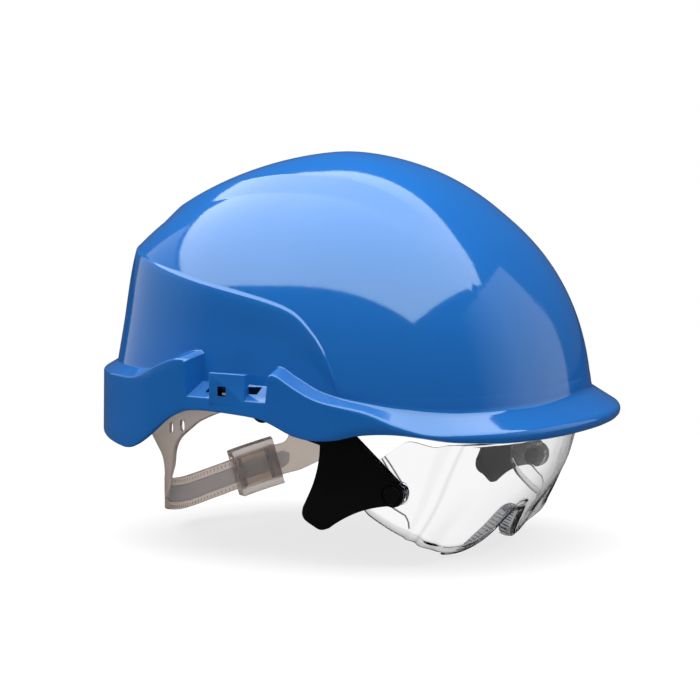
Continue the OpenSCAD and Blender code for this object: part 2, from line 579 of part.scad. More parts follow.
// Nape straps lie on a leaning oval; rows run from lower to upper edge
yoke_lean = 1.089;
nape_long = (band_back + seat_gap + 1.333) / yoke_lean;
nape_side = (band_half_width + seat_gap + 1.175) / yoke_lean;
LEAN = [[-46, 0.996], [-28, 0.998], [-14, 1], [-9, 1.012], [5, 1.087], [12, yoke_lean], [45, yoke_lean]];
function rows_z(lo, hi) = let (m = min(mix(lo, hi, 0.7), max(mix(lo, hi, 0.3), 5)))
    [lo, (lo + m) / 2, m, (m + hi) / 2, hi];
function nape_point(t, z, off) = let (k = curve(LEAN, z))
    [head_centre + (nape_long * k + off) * cos(t), (nape_side * k + off) * sin(t), z];
NAPE = [[100, -11], [123, -18.2], [139, -24], [160, -32], [180, -35.5], [200, -32], [214, -26], [224, -21]];
function nape_mid(t) = curve(NAPE, t) + nape_height + 35.5;
yoke_top = 25;
LEFT_LOW = [[96, 12], [102, 2], [112, -13], [122, -24], [134, -30]];
LEFT_HIGH = [[96, yoke_top], [112, yoke_top], [120, 20], [126, 9], [130, -3], [134, -13]];
function left_low(t) = mix(curve(LEFT_LOW, min(t, 134)), nape_mid(t) - nape_width / 2, smooth(124, 133, t));
function left_high(t) = mix(curve(LEFT_HIGH, min(t, 134)), nape_mid(t) + nape_width / 2, smooth(130, 135, t));
band_half = 0.8;
function left_section(t) = let (lo = left_low(t), hi = left_high(t), b = nape_border,
        r = nape_ridge * smooth(122, 131, t)) concat(
    [for (z = rows_z(lo, hi)) nape_point(t, z, band_half)],
    [for (z = [hi, hi - b]) nape_point(t, z, -band_half - r)],
    [nape_point(t, hi - b - 0.1, -band_half)],
    [nape_point(t, rows_z(lo, hi)[2], -band_half)],
    [nape_point(t, lo + b + 0.1, -band_half)],
    [for (z = [lo + b, lo]) nape_point(t, z, -band_half - r)]);
module chin_slots(places) {
    for (k = places) translate(nape_point(k[0], k[1], 0))
        rotate([0, 0, atan2(sin(k[0]) * nape_long, cos(k[0]) * nape_side)]) rotate([0, 90, 0])
            hull() for (s = [-1, 1]) translate([s * 0.9, 0, -6]) cylinder(r = 2.1, h = 12, $fn = 20);
}
left_turns = concat([for (a = [96:4:120]) a], [for (a = [122:2:144]) a], [for (a = [149:5:204]) a]);
module nape_strap_left() color(SMOKE) difference() {
    skin([for (t = left_turns) left_section(t)]);
    chin_slots([[108, 12], [115, 9], [107, 19]]);
}
// Right yoke, narrowing to the tongue that runs inside the wide band
RIGHT_LOW = [[214, -25.9 - tongue_width / 2], [219, -22], [226, -11], [235, 0], [246, 10], [262, 18]];
tongue_in = band_half + 0.25 + tongue_thick / 2;
TONGUE_END = 132;
function right_low(t) = t <= 214 ? nape_mid(t) - tongue_width / 2 : curve(RIGHT_LOW, t) + nape_height + 35.5;
function right_high(t) = t <= 208 ? nape_mid(t) + tongue_width / 2
    : mix(nape_mid(206) + tongue_width / 2, yoke_top, smooth(208, 215, t));
function right_out(t) = -tongue_in * (1 - smooth(205.5, 211, t));
function end_trim(t) = t < 134 ? 0.55 + 0.225 * (t - TONGUE_END) : 1;
function right_section(t) = let (lo0 = right_low(t), hi0 = right_high(t), m = (lo0 + hi0) / 2,
        e = end_trim(t), lo = mix(m, lo0, e), hi = mix(m, hi0, e), o = right_out(t),
        h = mix(tongue_thick / 2, band_half, smooth(205.5, 211, t))) concat(
    [for (z = rows_z(lo, hi)) nape_point(t, z, o + h)],
    [for (k = [4:-1:0]) nape_point(t, rows_z(lo, hi)[k], o - h)]);
right_turns = concat([for (a = [TONGUE_END:1:134]) a], [for (a = [138:4:198]) a],
    [for (a = [202:1.5:220]) a], [for (a = [224:4:260]) a]);
module nape_strap_right() color(SMOKE) difference() {
    skin([for (t = right_turns) right_section(t)]);
    chin_slots([[235, 10], [241, 12.5], [234, 18]]);
}

// Buckle: a frame curved with the band, drawn about the middle of the band's curve
bt = buckle_turn;
buckle_at = nape_point(bt, nape_mid(bt), 0);
flat_out = unit([cos(bt) / nape_long, sin(bt) / nape_side, 0]);
ahead = unit(nape_point(bt + 2, nape_mid(bt + 2), 0) - nape_point(bt - 2, nape_mid(bt - 2), 0));
out_dir = unit(flat_out - ahead * (flat_out * ahead));
up_dir = cross(out_dir, ahead);
band_curve = pow(pow(nape_long * sin(bt), 2) + pow(nape_side * cos(bt), 2), 1.5) / (nape_long * nape_side)
    / (1 - ahead[2] * ahead[2]);
buckle_centre = buckle_at - out_dir * band_curve;
module buckle_frame() {
    c = buckle_centre;
    multmatrix([for (i = [0:2]) [out_dir[i], ahead[i], up_dir[i], c[i]]]) children();
}
buckle_half_turn = buckle_length / 2 / band_curve * 180 / PI;
module slide_buckle() color(GREY) buckle_frame() {
    top = band_half + buckle_room;
    under = band_half + 0.2 + tongue_thick + buckle_room;
    tall = nape_width / 2 + buckle_room;
    difference() {
        rotate([0, 0, -buckle_half_turn]) rotate_extrude(angle = 2 * buckle_half_turn) difference() {
            translate([band_curve - under - buckle_wall, -tall - buckle_rail])
                square([top + under + 2 * buckle_wall, 2 * (tall + buckle_rail)]);
            translate([band_curve - under, -tall]) square([top + under, 2 * tall]);
        }
        translate([band_curve - under - 6, -buckle_length / 2 + 6.5, -tall + 1.2])
            cube([8, buckle_length - 11, 2 * tall - 2.4]);
    }
}

shell();
visor_mount_right();
visor_mount_left();
hinge_pin_right();
hinge_pin_left();
friction_washer_right();
friction_washer_left();
headband();
sweatband();
headband_hangers();
anchor_clips();
crown_strap_right();
crown_strap_left();
crown_strap_centre();
crown_patch();
nape_strap_right();
nape_strap_left();
carrier_arm_right();
carrier_arm_left();
lens_button_right();
lens_button_left();
lens();
nose_piece();
slide_buckle();
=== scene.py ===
"""Safety helmet with a clear eye shield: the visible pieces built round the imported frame."""
import math

import bmesh
import bpy
import numpy as np
from bpy.props import FloatProperty, FloatVectorProperty, IntProperty, PointerProperty
from mathutils import Matrix, Vector
from mathutils.kdtree import KDTree


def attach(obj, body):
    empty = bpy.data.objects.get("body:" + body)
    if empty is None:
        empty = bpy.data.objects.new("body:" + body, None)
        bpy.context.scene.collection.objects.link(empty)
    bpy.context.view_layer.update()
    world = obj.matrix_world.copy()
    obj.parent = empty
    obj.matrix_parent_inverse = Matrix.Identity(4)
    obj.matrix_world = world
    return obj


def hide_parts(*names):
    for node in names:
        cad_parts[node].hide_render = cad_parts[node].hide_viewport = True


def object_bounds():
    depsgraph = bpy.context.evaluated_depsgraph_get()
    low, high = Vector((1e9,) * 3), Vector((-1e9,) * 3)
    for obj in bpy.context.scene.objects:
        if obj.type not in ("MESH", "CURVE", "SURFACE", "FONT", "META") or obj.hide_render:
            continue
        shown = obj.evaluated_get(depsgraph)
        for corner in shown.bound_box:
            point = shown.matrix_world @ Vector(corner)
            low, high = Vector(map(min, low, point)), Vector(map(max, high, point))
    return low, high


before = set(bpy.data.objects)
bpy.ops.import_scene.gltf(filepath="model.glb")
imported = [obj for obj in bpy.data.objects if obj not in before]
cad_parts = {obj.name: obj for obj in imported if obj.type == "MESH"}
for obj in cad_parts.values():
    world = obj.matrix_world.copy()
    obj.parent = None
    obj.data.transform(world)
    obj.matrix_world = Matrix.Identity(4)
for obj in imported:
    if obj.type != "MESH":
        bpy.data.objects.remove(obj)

bl_info = {
    "name": "Safety helmet with eye shield",
    "version": (1, 0, 0),
    "blender": (4, 5, 0),
    "location": "View3D > Sidebar > Helmet",
    "description": "Builds the shell, eye shield and harness of a safety helmet",
    "category": "Object",
}

CAD_BOX = [list(corner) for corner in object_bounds()]
MM = 0.001

# Stage, in metres: the floor goes from its shadowed middle to plain white
FLOOR_HALF = 6.0
FLOOR_GAP = 0.0015
FLOOR_NEAR, FLOOR_FAR = 0.2, 0.45
FLOOR_PALE, FLOOR_SHINE, FLOOR_GLOW = 0.45, 0.04, 0.76
WORLD_LIGHT, WORLD_SHINE = 0.42, 0.08
CAMERA_LENS, CAMERA_SENSOR = 197.5, 36.0
CAMERA_RIGHT, CAMERA_UP = 0.00677, 0.04635
# Each soft box: its place, what it faces, its width and depth, and how it fades across its width
LIGHTS = {
    "top_light": ((-0.21, -0.08, 1.35), (-0.21, -0.08, 0), 3.0, 2.05, None),
    "front_light": ((1.42, 0.7, 0.64), (0, 0, 0.64), 2.4, 1.3, (0.15, 0.6)),
    "rear_light": ((-1.6, -0.49, 0.55), (0, -0.49, 0.55), 2.22, 1.3, (1.0, 0.0)),
}

# Sizes below are in millimetres, as in the part's source
DOME_CENTRE = 8.0
CROWN_HEIGHT = 148.0
DOME_FRONT = 123.0
DOME_BACK = 123.0
DOME_HALF_WIDTH = 104.0
BACK_BULGE = 20.0
SIDE_BULGE = 5.0
SIDE_EXTRA = 2.4
PLAN_POWER = 2.45
RISE_POWER = 2.7
RUN_POWER = 1.7
FRONT_LEAN = 1.5
NOTCH_FRONT = 25.0
NOTCH_BACK = -23.0
NOTCH_FLOOR = 33.0
NOTCH_LIP = 34.5
NOTCH_SLOPE = 6.0
SLOT_WIDTH = 30.0
SLOT_GAP = 5.0
BLOCK_WIDTH = 21.0
BLOCK_THICK = 4.5
BLOCK_TOP = 47.0
WINDOW_SIDE = 4.8
WINDOW_SHIFT = -2.8
WINDOW_RAISE = 2.5
BLOCK_FOOT = 2.2
BLOCK_ROUND = 0.7
SLOT_DEPTH = 8.0
SKIRT_OUT = 6.0
PEAK_OUT = 16.0
SHELL_WALL = 2.6
# Below the crease the wall runs from the dome to its foot
FOOT_HEIGHT = 20.0
FOOT_DOME = 30.0
WALL_CURVE = 0.85
# How far the skirt dips beside a notch, and over how many degrees
NOTCH_DIP, NOTCH_DIP_TURN = 2.4, 1.8
# The crown band's edge and foot: reach in front, reach behind, half width and least distance to the crease
CROWN_EDGE = (150, 94, 38, 10)
CROWN_FOOT = (160, 98, 50, 4)
CROWN_FADE = (112, 140)
# Turns between which a form comes or goes
FOOT_TURNS = (62, 95)
LEAN_TURNS = (48, 62)
STEP_TURNS = (61, 65)
PEAK_TURNS = (48, 70)
FADE_TURNS = (50, 90)
EXTRA_COMES, EXTRA_GOES = (72, 84), (116, 132)
TURN_STEP = 1.5

# Round the shell, 0 is the front and 180 the back
Z_BOTTOM = ((0, 14.2), (25, 14.6), (32, 15.5), (39, 16.7), (44, 18.6), (49, 20.1), (54, 20.4), (59, 19.4),
            (63, 17.4), (67, 16.5), (71, 16.8), (75, 18.6), (78, 21.4), (81, 24), (84, 25.6), (90, 26.6),
            (99, 27.4), (103, 27.2), (106, 26.4), (109, 24.2), (112.5, 20.4), (117, 13.4), (120, 9.3),
            (123.5, 5.7), (128, 3), (133, 3.3), (140, 4.5), (150, 6.5), (165, 8.5), (180, 9.3))
Z_SKIRT = ((0, 22), (20, 22), (37, 22), (44, 22.3), (50, 26.8), (56, 31.9), (60, 33.7), (66, 35.7), (70, 38.1),
           (75, 43.3), (79, 48), (90, 52), (104, 53), (110, 52), (114, 49.2), (118, 45.5), (122, 42.1), (126, 40.2),
           (134, 39.6), (150, 38.5), (180, 38.5))
Z_CREASE = ((0, 37), (54, 38), (60, 39.2), (63, 40.5), (64, 47.5), (66, 56.8), (68, 63.5), (70, 68.2), (74, 75.2),
            (78, 79.2), (84, 82.2), (92, 84.8), (112, 90.2), (128, 94.8), (144, 99), (180, 103))
OUT = ((0, 1), (30, 0.88), (47, 0.5), (60, 0.14), (75, 0), (130, 0), (156, -0.25), (180, -0.27))
LEDGE = ((0, 7), (35, 7.4), (44, 8.6), (50, 5.6), (56, 2.6), (60, 2.4), (66, 3.4), (72, 4), (80, 2.4), (115, 3),
         (135, 3), (180, 3.5))

# Lens
LENS_PIVOT = (78.5, 75.5, -12.0)
LENS_ARC = (14.0, 28.0)
LENS_FRONT = 117.5
LENS_BACK = 61.0
LENS_TUCK = 4.6
LENS_BOSS = 6.0
STUD_BORE = 2.55
ARM_TOE = 0.33
FOLD_X = 95.0
FOLD_Y = LENS_PIVOT[1] + ARM_TOE * (LENS_PIVOT[0] - FOLD_X)
FOLD_REACH = 6.0
LENS_ROUND = ((LENS_FRONT - FOLD_X) ** 2 + FOLD_Y ** 2) / (2 * (LENS_FRONT - FOLD_X))
LENS_REACH = math.hypot(LENS_FRONT - LENS_ARC[0], LENS_PIVOT[2] - LENS_ARC[1])
LENS_LOW = ((0, -26.6), (3, -26.8), (6, -27.8), (9, -31.8), (11.5, -36), (14.5, -39.6), (19, -42.9),
            (24.5, -45.4), (31.5, -46.8), (39.5, -46.5), (46, -44.9), (59.5, -40.1), (FOLD_Y, -35.2))
FRONT_HIGH = ((0, 11.5), (40, 12), (FOLD_Y, 13))
SIDE_LOW = ((LENS_BACK, -19), (62.5, -20.6), (64.5, -23), (68, -25.7), (74, -29.7), (79, -32.6),
            (84.5, -35.1), (95, -39))
SIDE_HIGH = ((LENS_BACK, -3.5), (68.4, 3.6), (72, 6.4), (81.5, 13.4), (84, 14.2), (87.7, 13.8), (92.8, 12.4),
             (97.2, 11.7), (105, 13))
RIM_HEIGHT = 3.3
# Raised lines on the side panels, as x and z
SIDE_LINES = (((72.6, 6.6), (75.5, 2.4), (77.7, -1.3), (79.7, -4.6), (81.3, -7.3), (82.7, -9.3), (83.3, -11.3),
               (82.9, -14), (80.6, -15.8)),
              ((71.2, 5.6), (73.5, 1.6), (75.8, -2.8), (78.6, -6.3)),
              ((75.2, -18.1), (79, -20.6), (82.5, -22.7), (83.9, -25.7), (84.3, -29.1)))
NOSE_DEPTH = 6.6
NOSE_LIP = 1.8
NOSE_SLOPE = 0.38
NOSE_END = 39.5
NOSE_TAPER = ((14.5, 0), (19, 0.156), (24.5, 0.5), (31.5, 0.844), (NOSE_END, 1))
SIDE_LINE_RADIUS, SIDE_LINE_OFF = 0.42, 1.15
# How the lens leans: tucked in below over these heights, flared out above a height
SHARE_POWER = 1.6
TUCK_HEIGHTS, TUCK_SIDE = (4, 34), 45
FLARE, FLARE_FROM = 0.008, -10
TOE_FROM = 48

# Harness
HEAD_CENTRE = 2.0
BAND_FRONT = 97.0
BAND_BACK = 104.0
BAND_HALF_WIDTH = 80.2
BAND_THICK = 1.8
SEAT_GAP = 0.3
NAPE_LONG = 97.0
NAPE_SIDE = 75.0
NAPE_WIDTH = 17.0
NAPE_BORDER = 3.6
NAPE_HALF = 0.8
NAPE_RIDGE = 0.7
TONGUE_WIDTH = 9.0
TONGUE_THICK = 1.2
TONGUE_END = 132
YOKE_TOP = 25.0
LEAN = ((-46, 0.996), (-28, 0.998), (-14, 1), (-9, 1.012), (5, 1.087), (12, 1.089), (45, 1.089))
NAPE = ((100, -11), (123, -18.2), (139, -24), (160, -32), (180, -35.5), (200, -32), (214, -26),
        (224, -21))
LEFT_LOW = ((96, 12), (102, 2), (112, -13), (122, -24), (134, -30))
LEFT_HIGH = ((96, YOKE_TOP), (112, YOKE_TOP), (120, 20), (126, 9), (130, -3), (134, -13))
RIGHT_LOW = ((214, -30.4), (219, -22), (226, -11), (235, 0), (243, 9.5), (250, 17), (262, 23.5))
LEFT_SLOTS = ((108, 12), (115, 9), (107, 19))
RIGHT_SLOTS = ((235, 10), (241, 12.5), (234, 18))
CLIPS = ((52, 87, 1.1), (-52, 87, 1.1), (118, 66, 0.7), (-118, 66, 0.7), (180, 66, 0.5))
CLIP_THICK = 4.0
STRAP_TOP = 112.0
STRAP_THICK = 1.4
STRAP_LAYER = 2.1
CROWN_X = 4.0
# Where the buckle's inner face lies: a turn about the axis it slides round
BUCKLE_CENTRE = Vector((-13.9066, -14.648, -25.9717))
BUCKLE_OUT = Vector((-0.7288, 0.6847, 0.0))
BUCKLE_AHEAD = Vector((-0.6590, -0.7014, -0.2715))
BUCKLE_UP = Vector((-0.185883, -0.197819, 0.962453))
BUCKLE_RADIUS = 81.1

# Harness details
BAND_LOW = ((0, 14), (40, 15), (60, 17.5), (85, 21), (110, 22), (180, 20))
BAND_HIGH = ((0, 44), (60, 40), (110, 36), (180, 36))
PAD_HALF, PAD_TURN, PAD_START = 2.5, 66, 0.86
HOOK_SLOT_RADIUS, HOOK_SLOT_STRAIGHT = 2.1, 0.9
PATCH_PROFILE = ((0, 0.6), (0, 8), (0, 16.4), (0.15, 16.85), (0.5, 17), (0.9, 17), (1.25, 16.85), (1.4, 16.4),
                 (1.1, 14.6), (1.35, 12.5), (1.45, 8), (1.45, 0.6))
PATCH_SEAM, PATCH_STITCHES = 14.6, 40
STITCH_ROWS, STITCHES_IN_ROW = (-2.2, 2.2), 8
STRAP_ROWS = 73
TONGUE_TURNS = (205.5, 211)
PALE_TURNS = (200, 207)
RIDGE_TURNS = (122, 131)
LEFT_YOKE_END, LEFT_LOW_TURNS, LEFT_HIGH_TURNS = 134, (124, 133), (130, 135)
RIGHT_YOKE_FROM, RIGHT_HIGH_TURNS = 214, (208, 215)
TICK_FROM, TICK_STEP, TICK_STEPS = 152, 0.12, 400
POST_ALONG, POST_UP = (-7.2, 9.2), (-5.5, 5.5)
# Length, width and height of small repeated bars
NOSE_RIB = (4.6, 0.7, 0.6)
STITCH = (2.0, 0.55, 0.45)
TICK = (1.7, 0.45, 0.3)
POST = (5.0, 1.5, 1.2)
# The cloth run that fills the sweatband, in metres
SWELL_VOXEL, SWELL_CAP = 0.0022, 0.0007


# Curves

def smooth(a, b, x):
    t = min(1.0, max(0.0, (x - a) / (b - a)))
    return t * t * (3 - 2 * t)


def mix(a, b, t):
    return a + (b - a) * t


def curve(points, x):
    """A curve through the points of a short list, level at both ends."""
    last = len(points) - 1
    k = max(i for i in range(last) if x >= points[i][0] or i == 0)

    def tangent(i):
        if i in (0, last):
            return 0.0
        return (points[i + 1][1] - points[i - 1][1]) / (points[i + 1][0] - points[i - 1][0])

    h = points[k + 1][0] - points[k][0]
    t = (x - points[k][0]) / h
    return (points[k][1] * (1 + 2 * t) * (1 - t) ** 2 + tangent(k) * h * t * (1 - t) ** 2
            + points[k + 1][1] * t * t * (3 - 2 * t) + tangent(k + 1) * h * t * t * (t - 1))


def cosd(t):
    return math.cos(math.radians(t))


def sind(t):
    return math.sin(math.radians(t))


def spread(a, b, count):
    return [mix(a, b, i / (count - 1)) for i in range(count)]


def bend(a, b, c, u):
    """A point on the curve from a to c that is drawn towards b."""
    return tuple(p * (1 - u) ** 2 + 2 * q * u * (1 - u) + r * u * u for p, q, r in zip(a, b, c))


# Shell shape

def plan(a, b, t):
    return 1 / ((abs(cosd(t)) / a) ** PLAN_POWER + (abs(sind(t)) / b) ** PLAN_POWER) ** (1 / PLAN_POWER)


def dome_height(z):
    return (1 - min(1.0, max(0.0, z) / CROWN_HEIGHT) ** RISE_POWER) ** (1 / RUN_POWER)


def full(t):
    return plan(DOME_FRONT if t < 90 else DOME_BACK + BACK_BULGE, DOME_HALF_WIDTH + SIDE_BULGE, t)


def foot(t):
    upright = plan(DOME_FRONT if t < 90 else DOME_BACK, DOME_HALF_WIDTH, t)
    return mix(full(t) * dome_height(FOOT_DOME), upright, smooth(*FOOT_TURNS, t))


def crease(t):
    return curve(Z_CREASE, t)


def dome_at(t, z):
    return full(t) * dome_height(z)


def dome_z(t, r):
    return CROWN_HEIGHT * max(0.0, 1 - (r / full(t)) ** RUN_POWER) ** (1 / RISE_POWER)


def wall_at(t, z):
    zc = crease(t)
    if z >= zc:
        return dome_at(t, z)
    lean = FRONT_LEAN * (1 - smooth(*LEAN_TURNS, t))
    return mix(dome_at(t, zc), foot(t) + lean, ((zc - z) / (zc - FOOT_HEIGHT)) ** WALL_CURVE)


def step_at(t, z, step):
    """How far the wall stands out below the crease; it fades towards the skirt."""
    below = crease(t) - z
    run = crease(t) - curve(Z_SKIRT, t) - 4
    return step * smooth(*STEP_TURNS, t) * smooth(0, 1.6, below) * (1 - smooth(0.1, 0.75, below / run))


NOTCH_TURNS = [math.degrees(math.atan2(DOME_HALF_WIDTH + SKIRT_OUT, x - DOME_CENTRE))
               for x in (NOTCH_FRONT, NOTCH_BACK)]


def in_notch(t):
    return NOTCH_TURNS[0] < t < NOTCH_TURNS[1]


def from_notch(t):
    return min(abs(t - n) for n in NOTCH_TURNS)


def skirt_top(t):
    if in_notch(t):
        return NOTCH_LIP
    return curve(Z_SKIRT, t) - NOTCH_DIP * max(0.0, 1 - from_notch(t) / NOTCH_DIP_TURN) ** 2


def ledge_top(t):
    return skirt_top(t) + (NOTCH_SLOPE if in_notch(t) else curve(LEDGE, t))


def skirt_at(t):
    extra = SIDE_EXTRA * smooth(*EXTRA_COMES, t) * (1 - smooth(*EXTRA_GOES, t))
    return foot(t) + mix(SKIRT_OUT, PEAK_OUT, curve(OUT, t)) + extra


def oval(a, b, t):
    return 1 / ((cosd(t) / a) ** 4 + (sind(t) / b) ** 4) ** 0.25


def crown_line(sizes, t):
    """Radius of a line of the crown band, kept off the crease and rounded off where both meet in front."""
    ahead, behind, side, margin = sizes
    a, b = oval(ahead if t < 90 else behind, side, t), dome_at(t, crease(t)) - margin
    return min(a, b) if t > 90 else (a ** -16 + b ** -16) ** (-1 / 16)


def crown_lines(t):
    return crown_line(CROWN_EDGE, t), crown_line(CROWN_FOOT, t)


def crown_z(t, r, rise):
    """Height of the dome with the crown band on it, which fades towards the front."""
    edge, low = crown_lines(t)
    z = dome_z(t, r)
    fade = mix(smooth(*CROWN_FADE, z), 1, smooth(*FADE_TURNS, t))
    return z + rise * fade * (1 - min(1.0, max(0.0, (r - edge) / (low - edge))))


def crown_points(t, rise):
    """From the top of the crown down to the crease, with close rows along the band."""
    edge, low = crown_lines(t)
    rim = dome_at(t, crease(t) + 1.2)
    turn = min(1.2, 0.2 * (low - edge))
    start = min(turn, 0.05 * (rim - low))
    radii = [edge * sind(90 * g) for g in spread(0.04, 0.9, 26)]
    radii += [edge - turn, edge - turn / 3, edge + turn / 3, edge + turn]
    radii += [mix(edge, low, f) for f in (0.3, 0.4, 0.5, 0.6, 0.7)]
    radii += [low - turn, low - turn / 3, low + start / 3, low + start]
    radii += [mix(low, rim, cosd(90 * g)) for g in spread(0.96, 0.03, 30)]
    return [(r, crown_z(t, r, rise)) for r in radii]


def wall_points(t, step, fillet):
    """From the crease down the wall to the fillet above the ledge."""
    zc = crease(t)
    heights = [zc + d for d in (1.0, 0.4, 0, -0.4, -0.8, -1.2, -1.6)]
    heights += [mix(zc - 1.8, ledge_top(t) + fillet, f) for f in spread(0.06, 1, 14)]
    return [(wall_at(t, z) + step_at(t, z, step), z) for z in heights]


def lip_points(t, wall, front, fillet):
    """Along the ledge, round the edge of the skirt or peak, and up the inside of it."""
    s, zb, zt, zl = skirt_at(t), curve(Z_BOTTOM, t), skirt_top(t), ledge_top(t)
    base = wall_at(t, zl)
    top_round = min(mix(1.3, 3.4, front), 0.5 * (zt - zb))
    low_round = mix(0.9, 0.9 * (zt - zb - top_round), front)
    tuck, lip = mix(0.9, 5.0, front), mix(0.4, 0.0, front)
    inner, inner_top = s - max(wall, tuck + 0.9), zt - wall
    round_r, round_z = s - lip - top_round, zt - top_round
    lean = 45.0
    for _ in range(8):  # finds the slope at which the ledge runs into the rounding without a kink
        end_r, end_z = round_r + top_round * sind(lean), round_z + top_round * cosd(lean)
        lean = math.degrees(math.atan2(max(0.05, zl - end_z), max(0.05, end_r - base)))
    high = wall_at(t, zl + fillet), zl + fillet
    along = min(0.3, fillet / math.hypot(end_r - base, end_z - zl))
    low_r, low_z = mix(base, end_r, along), mix(zl, end_z, along)
    out = [bend(high, (base, zl), (low_r, low_z), u) for u in (0.2, 0.4, 0.6, 0.8)]
    out += [(mix(low_r, end_r, f), mix(low_z, end_z, f)) for f in (0, 0.25, 0.5, 0.75, 0.92)]
    out += [(round_r + top_round * sind(a), round_z + top_round * cosd(a)) for a in spread(lean, 90, 6)]
    out += [(mix(s - lip, s, f), mix(zt - top_round, zb + low_round, f)) for f in (0.25, 0.5, 0.75, 1)]
    out += [(s - tuck * (1 - cosd(a)), zb + low_round * (1 - sind(a))) for a in (22, 45, 68, 90)]
    out += [(min(s - tuck - 0.1, inner + 0.7), zb), (inner + 0.05, zb + 0.3), (inner, zb + 0.9)]
    out += [(inner, mix(zb + 1.0, inner_top - 0.5, f)) for f in (0.3, 0.65, 1)]
    out += [(inner - 0.5, inner_top), (mix(base, s, 0.5) - wall, mix(zl, zt, 0.5) - wall * 0.9)]
    return out + [(base - wall, zl - wall * 0.85)]


def inside_of(t, r, z, wall):
    """The point a wall's thickness inside the crown, under its outside at a radius and height."""
    fall = dome_z(t, r + 0.5) - dome_z(t, r - 0.5)
    k = wall / math.sqrt(1 + fall * fall)
    return (r + k * fall, z - k)


def inner_points(t, wall, rise):
    """Up the inside from the ledge to the top of the crown."""
    zl, zc = ledge_top(t), crease(t)
    edge, low = crown_lines(t)
    heights = [mix(zl, zc, f) for f in (0.12, 0.3, 0.5, 0.7, 0.88)]
    out = [(wall_at(t, z) - wall, z) for z in heights]
    radii = [mix(low, dome_at(t, zc), cosd(90 * g)) for g in spread(0, 1, 14)]
    out += [inside_of(t, r, dome_z(t, r), wall) for r in radii]
    radii = [mix(low, 0.97 * edge, f) for f in spread(0.15, 1, 7)]
    radii += [edge * f for f in (0.9, 0.8, 0.7, 0.6, 0.5, 0.35, 0.2)]
    return out + [inside_of(t, r, crown_z(t, r, rise), wall) for r in radii]


def shell_profile(t, wall, rise, step):
    """Radius and height from the crown down the outside, round the lip and up the inside."""
    front = 1 - smooth(*PEAK_TURNS, t)
    fillet = mix(0.6, 2.4, front)
    return (crown_points(t, rise) + wall_points(t, step, fillet) + lip_points(t, wall, front, fillet)
            + inner_points(t, wall, rise))


def shell_turns():
    """Turns of the profiles: even ones, close ones where the light shows a bend, and the sides of the notches."""
    near = (-3.0, -1.4, -0.8, -0.35, 0.35, 0.8, 1.4, 3.0)
    marks = [n + d for n in NOTCH_TURNS for d in near]
    even = [t * TURN_STEP for t in range(121) if from_notch(t * TURN_STEP) > 3.4]
    fine = [t for t in spread(8.5, 40, 64) + spread(57.5, 71.5, 29) if t % TURN_STEP]
    half = sorted(even + fine + marks)
    return half + [-t for t in reversed(half[1:-1])]


def around(t, r, z):
    return (DOME_CENTRE + r * cosd(t), r * sind(t), z)


def in_wall(t, z, off):
    """A point off millimetres in from the inside of the shell wall."""
    a = abs(t)
    slope = dome_at(a, z + 0.5) - dome_at(a, z - 0.5) if z >= crease(a) else -0.2
    return around(t, wall_at(a, z) - (SHELL_WALL + off) * math.sqrt(1 + slope * slope), z)


# Mesh helpers

def add_mesh(name, points, faces, turn_out=True):
    mesh = bpy.data.meshes.new(name)
    mesh.from_pydata([tuple(c * MM for c in p) for p in points], [], faces)
    mesh.update()
    obj = bpy.data.objects.new(name, mesh)
    bpy.context.scene.collection.objects.link(obj)
    if turn_out:
        face_outwards(mesh)
    return obj


def face_outwards(mesh):
    bm = bmesh.new()
    bm.from_mesh(mesh)
    bmesh.ops.recalc_face_normals(bm, faces=bm.faces)
    bm.to_mesh(mesh)
    bm.free()


def drop(obj):
    mesh = obj.data
    bpy.data.objects.remove(obj)
    if mesh.users == 0:
        bpy.data.meshes.remove(mesh)


def settle(obj):
    """Turns the modifiers' result into the object's plain mesh."""
    bpy.context.view_layer.update()
    graph = bpy.context.evaluated_depsgraph_get()
    mesh = bpy.data.meshes.new_from_object(obj.evaluated_get(graph))
    old = obj.data
    obj.modifiers.clear()
    obj.data = mesh
    mesh.name = obj.name
    if old.users == 0:
        bpy.data.meshes.remove(old)


def boolean(obj, other, operation):
    modifier = obj.modifiers.new(operation.title(), "BOOLEAN")
    modifier.operation = operation
    modifier.solver = "EXACT"
    modifier.object = other
    settle(obj)
    drop(other)


def round_edges(obj, width, segments=2):
    modifier = obj.modifiers.new("Rounded edges", "BEVEL")
    modifier.width = width * MM
    modifier.segments = segments
    modifier.limit_method = "ANGLE"
    modifier.angle_limit = math.radians(32)
    modifier.use_clamp_overlap = True
    settle(obj)


def soften(obj, degrees=35):
    obj.data.shade_smooth()
    obj.data.set_sharp_from_angle(angle=math.radians(degrees))


def set_tone_and_shade(obj, values, domain="POINT"):
    """Says where the second colour of a finish shows: the tongue's own tone on the harness, painted shade on the
    shell and the lens.
    """
    layer = obj.data.attributes.new("second_tone", "FLOAT", domain)
    layer.data.foreach_set("value", values)


def map_threads(obj, place):
    """A UV map in millimetres; place gives a vertex its spot from its index and its point."""
    layer = obj.data.uv_layers.new(name="threads")
    for loop in obj.data.loops:
        k = loop.vertex_index
        layer.data[loop.index].uv = place(k, obj.data.vertices[k].co / MM)


def skin(rows, joined=False):
    """Points and faces of closed rows joined into one solid."""
    n, m = len(rows[0]), len(rows)
    faces = []
    for j in range(m if joined else m - 1):
        k = (j + 1) % m
        faces += [(j * n + i, j * n + (i + 1) % n, k * n + (i + 1) % n, k * n + i) for i in range(n)]
    if not joined:
        faces.append(tuple(range(n - 1, -1, -1)))
        faces.append(tuple(range((m - 1) * n, m * n)))
    return [p for row in rows for p in row], faces


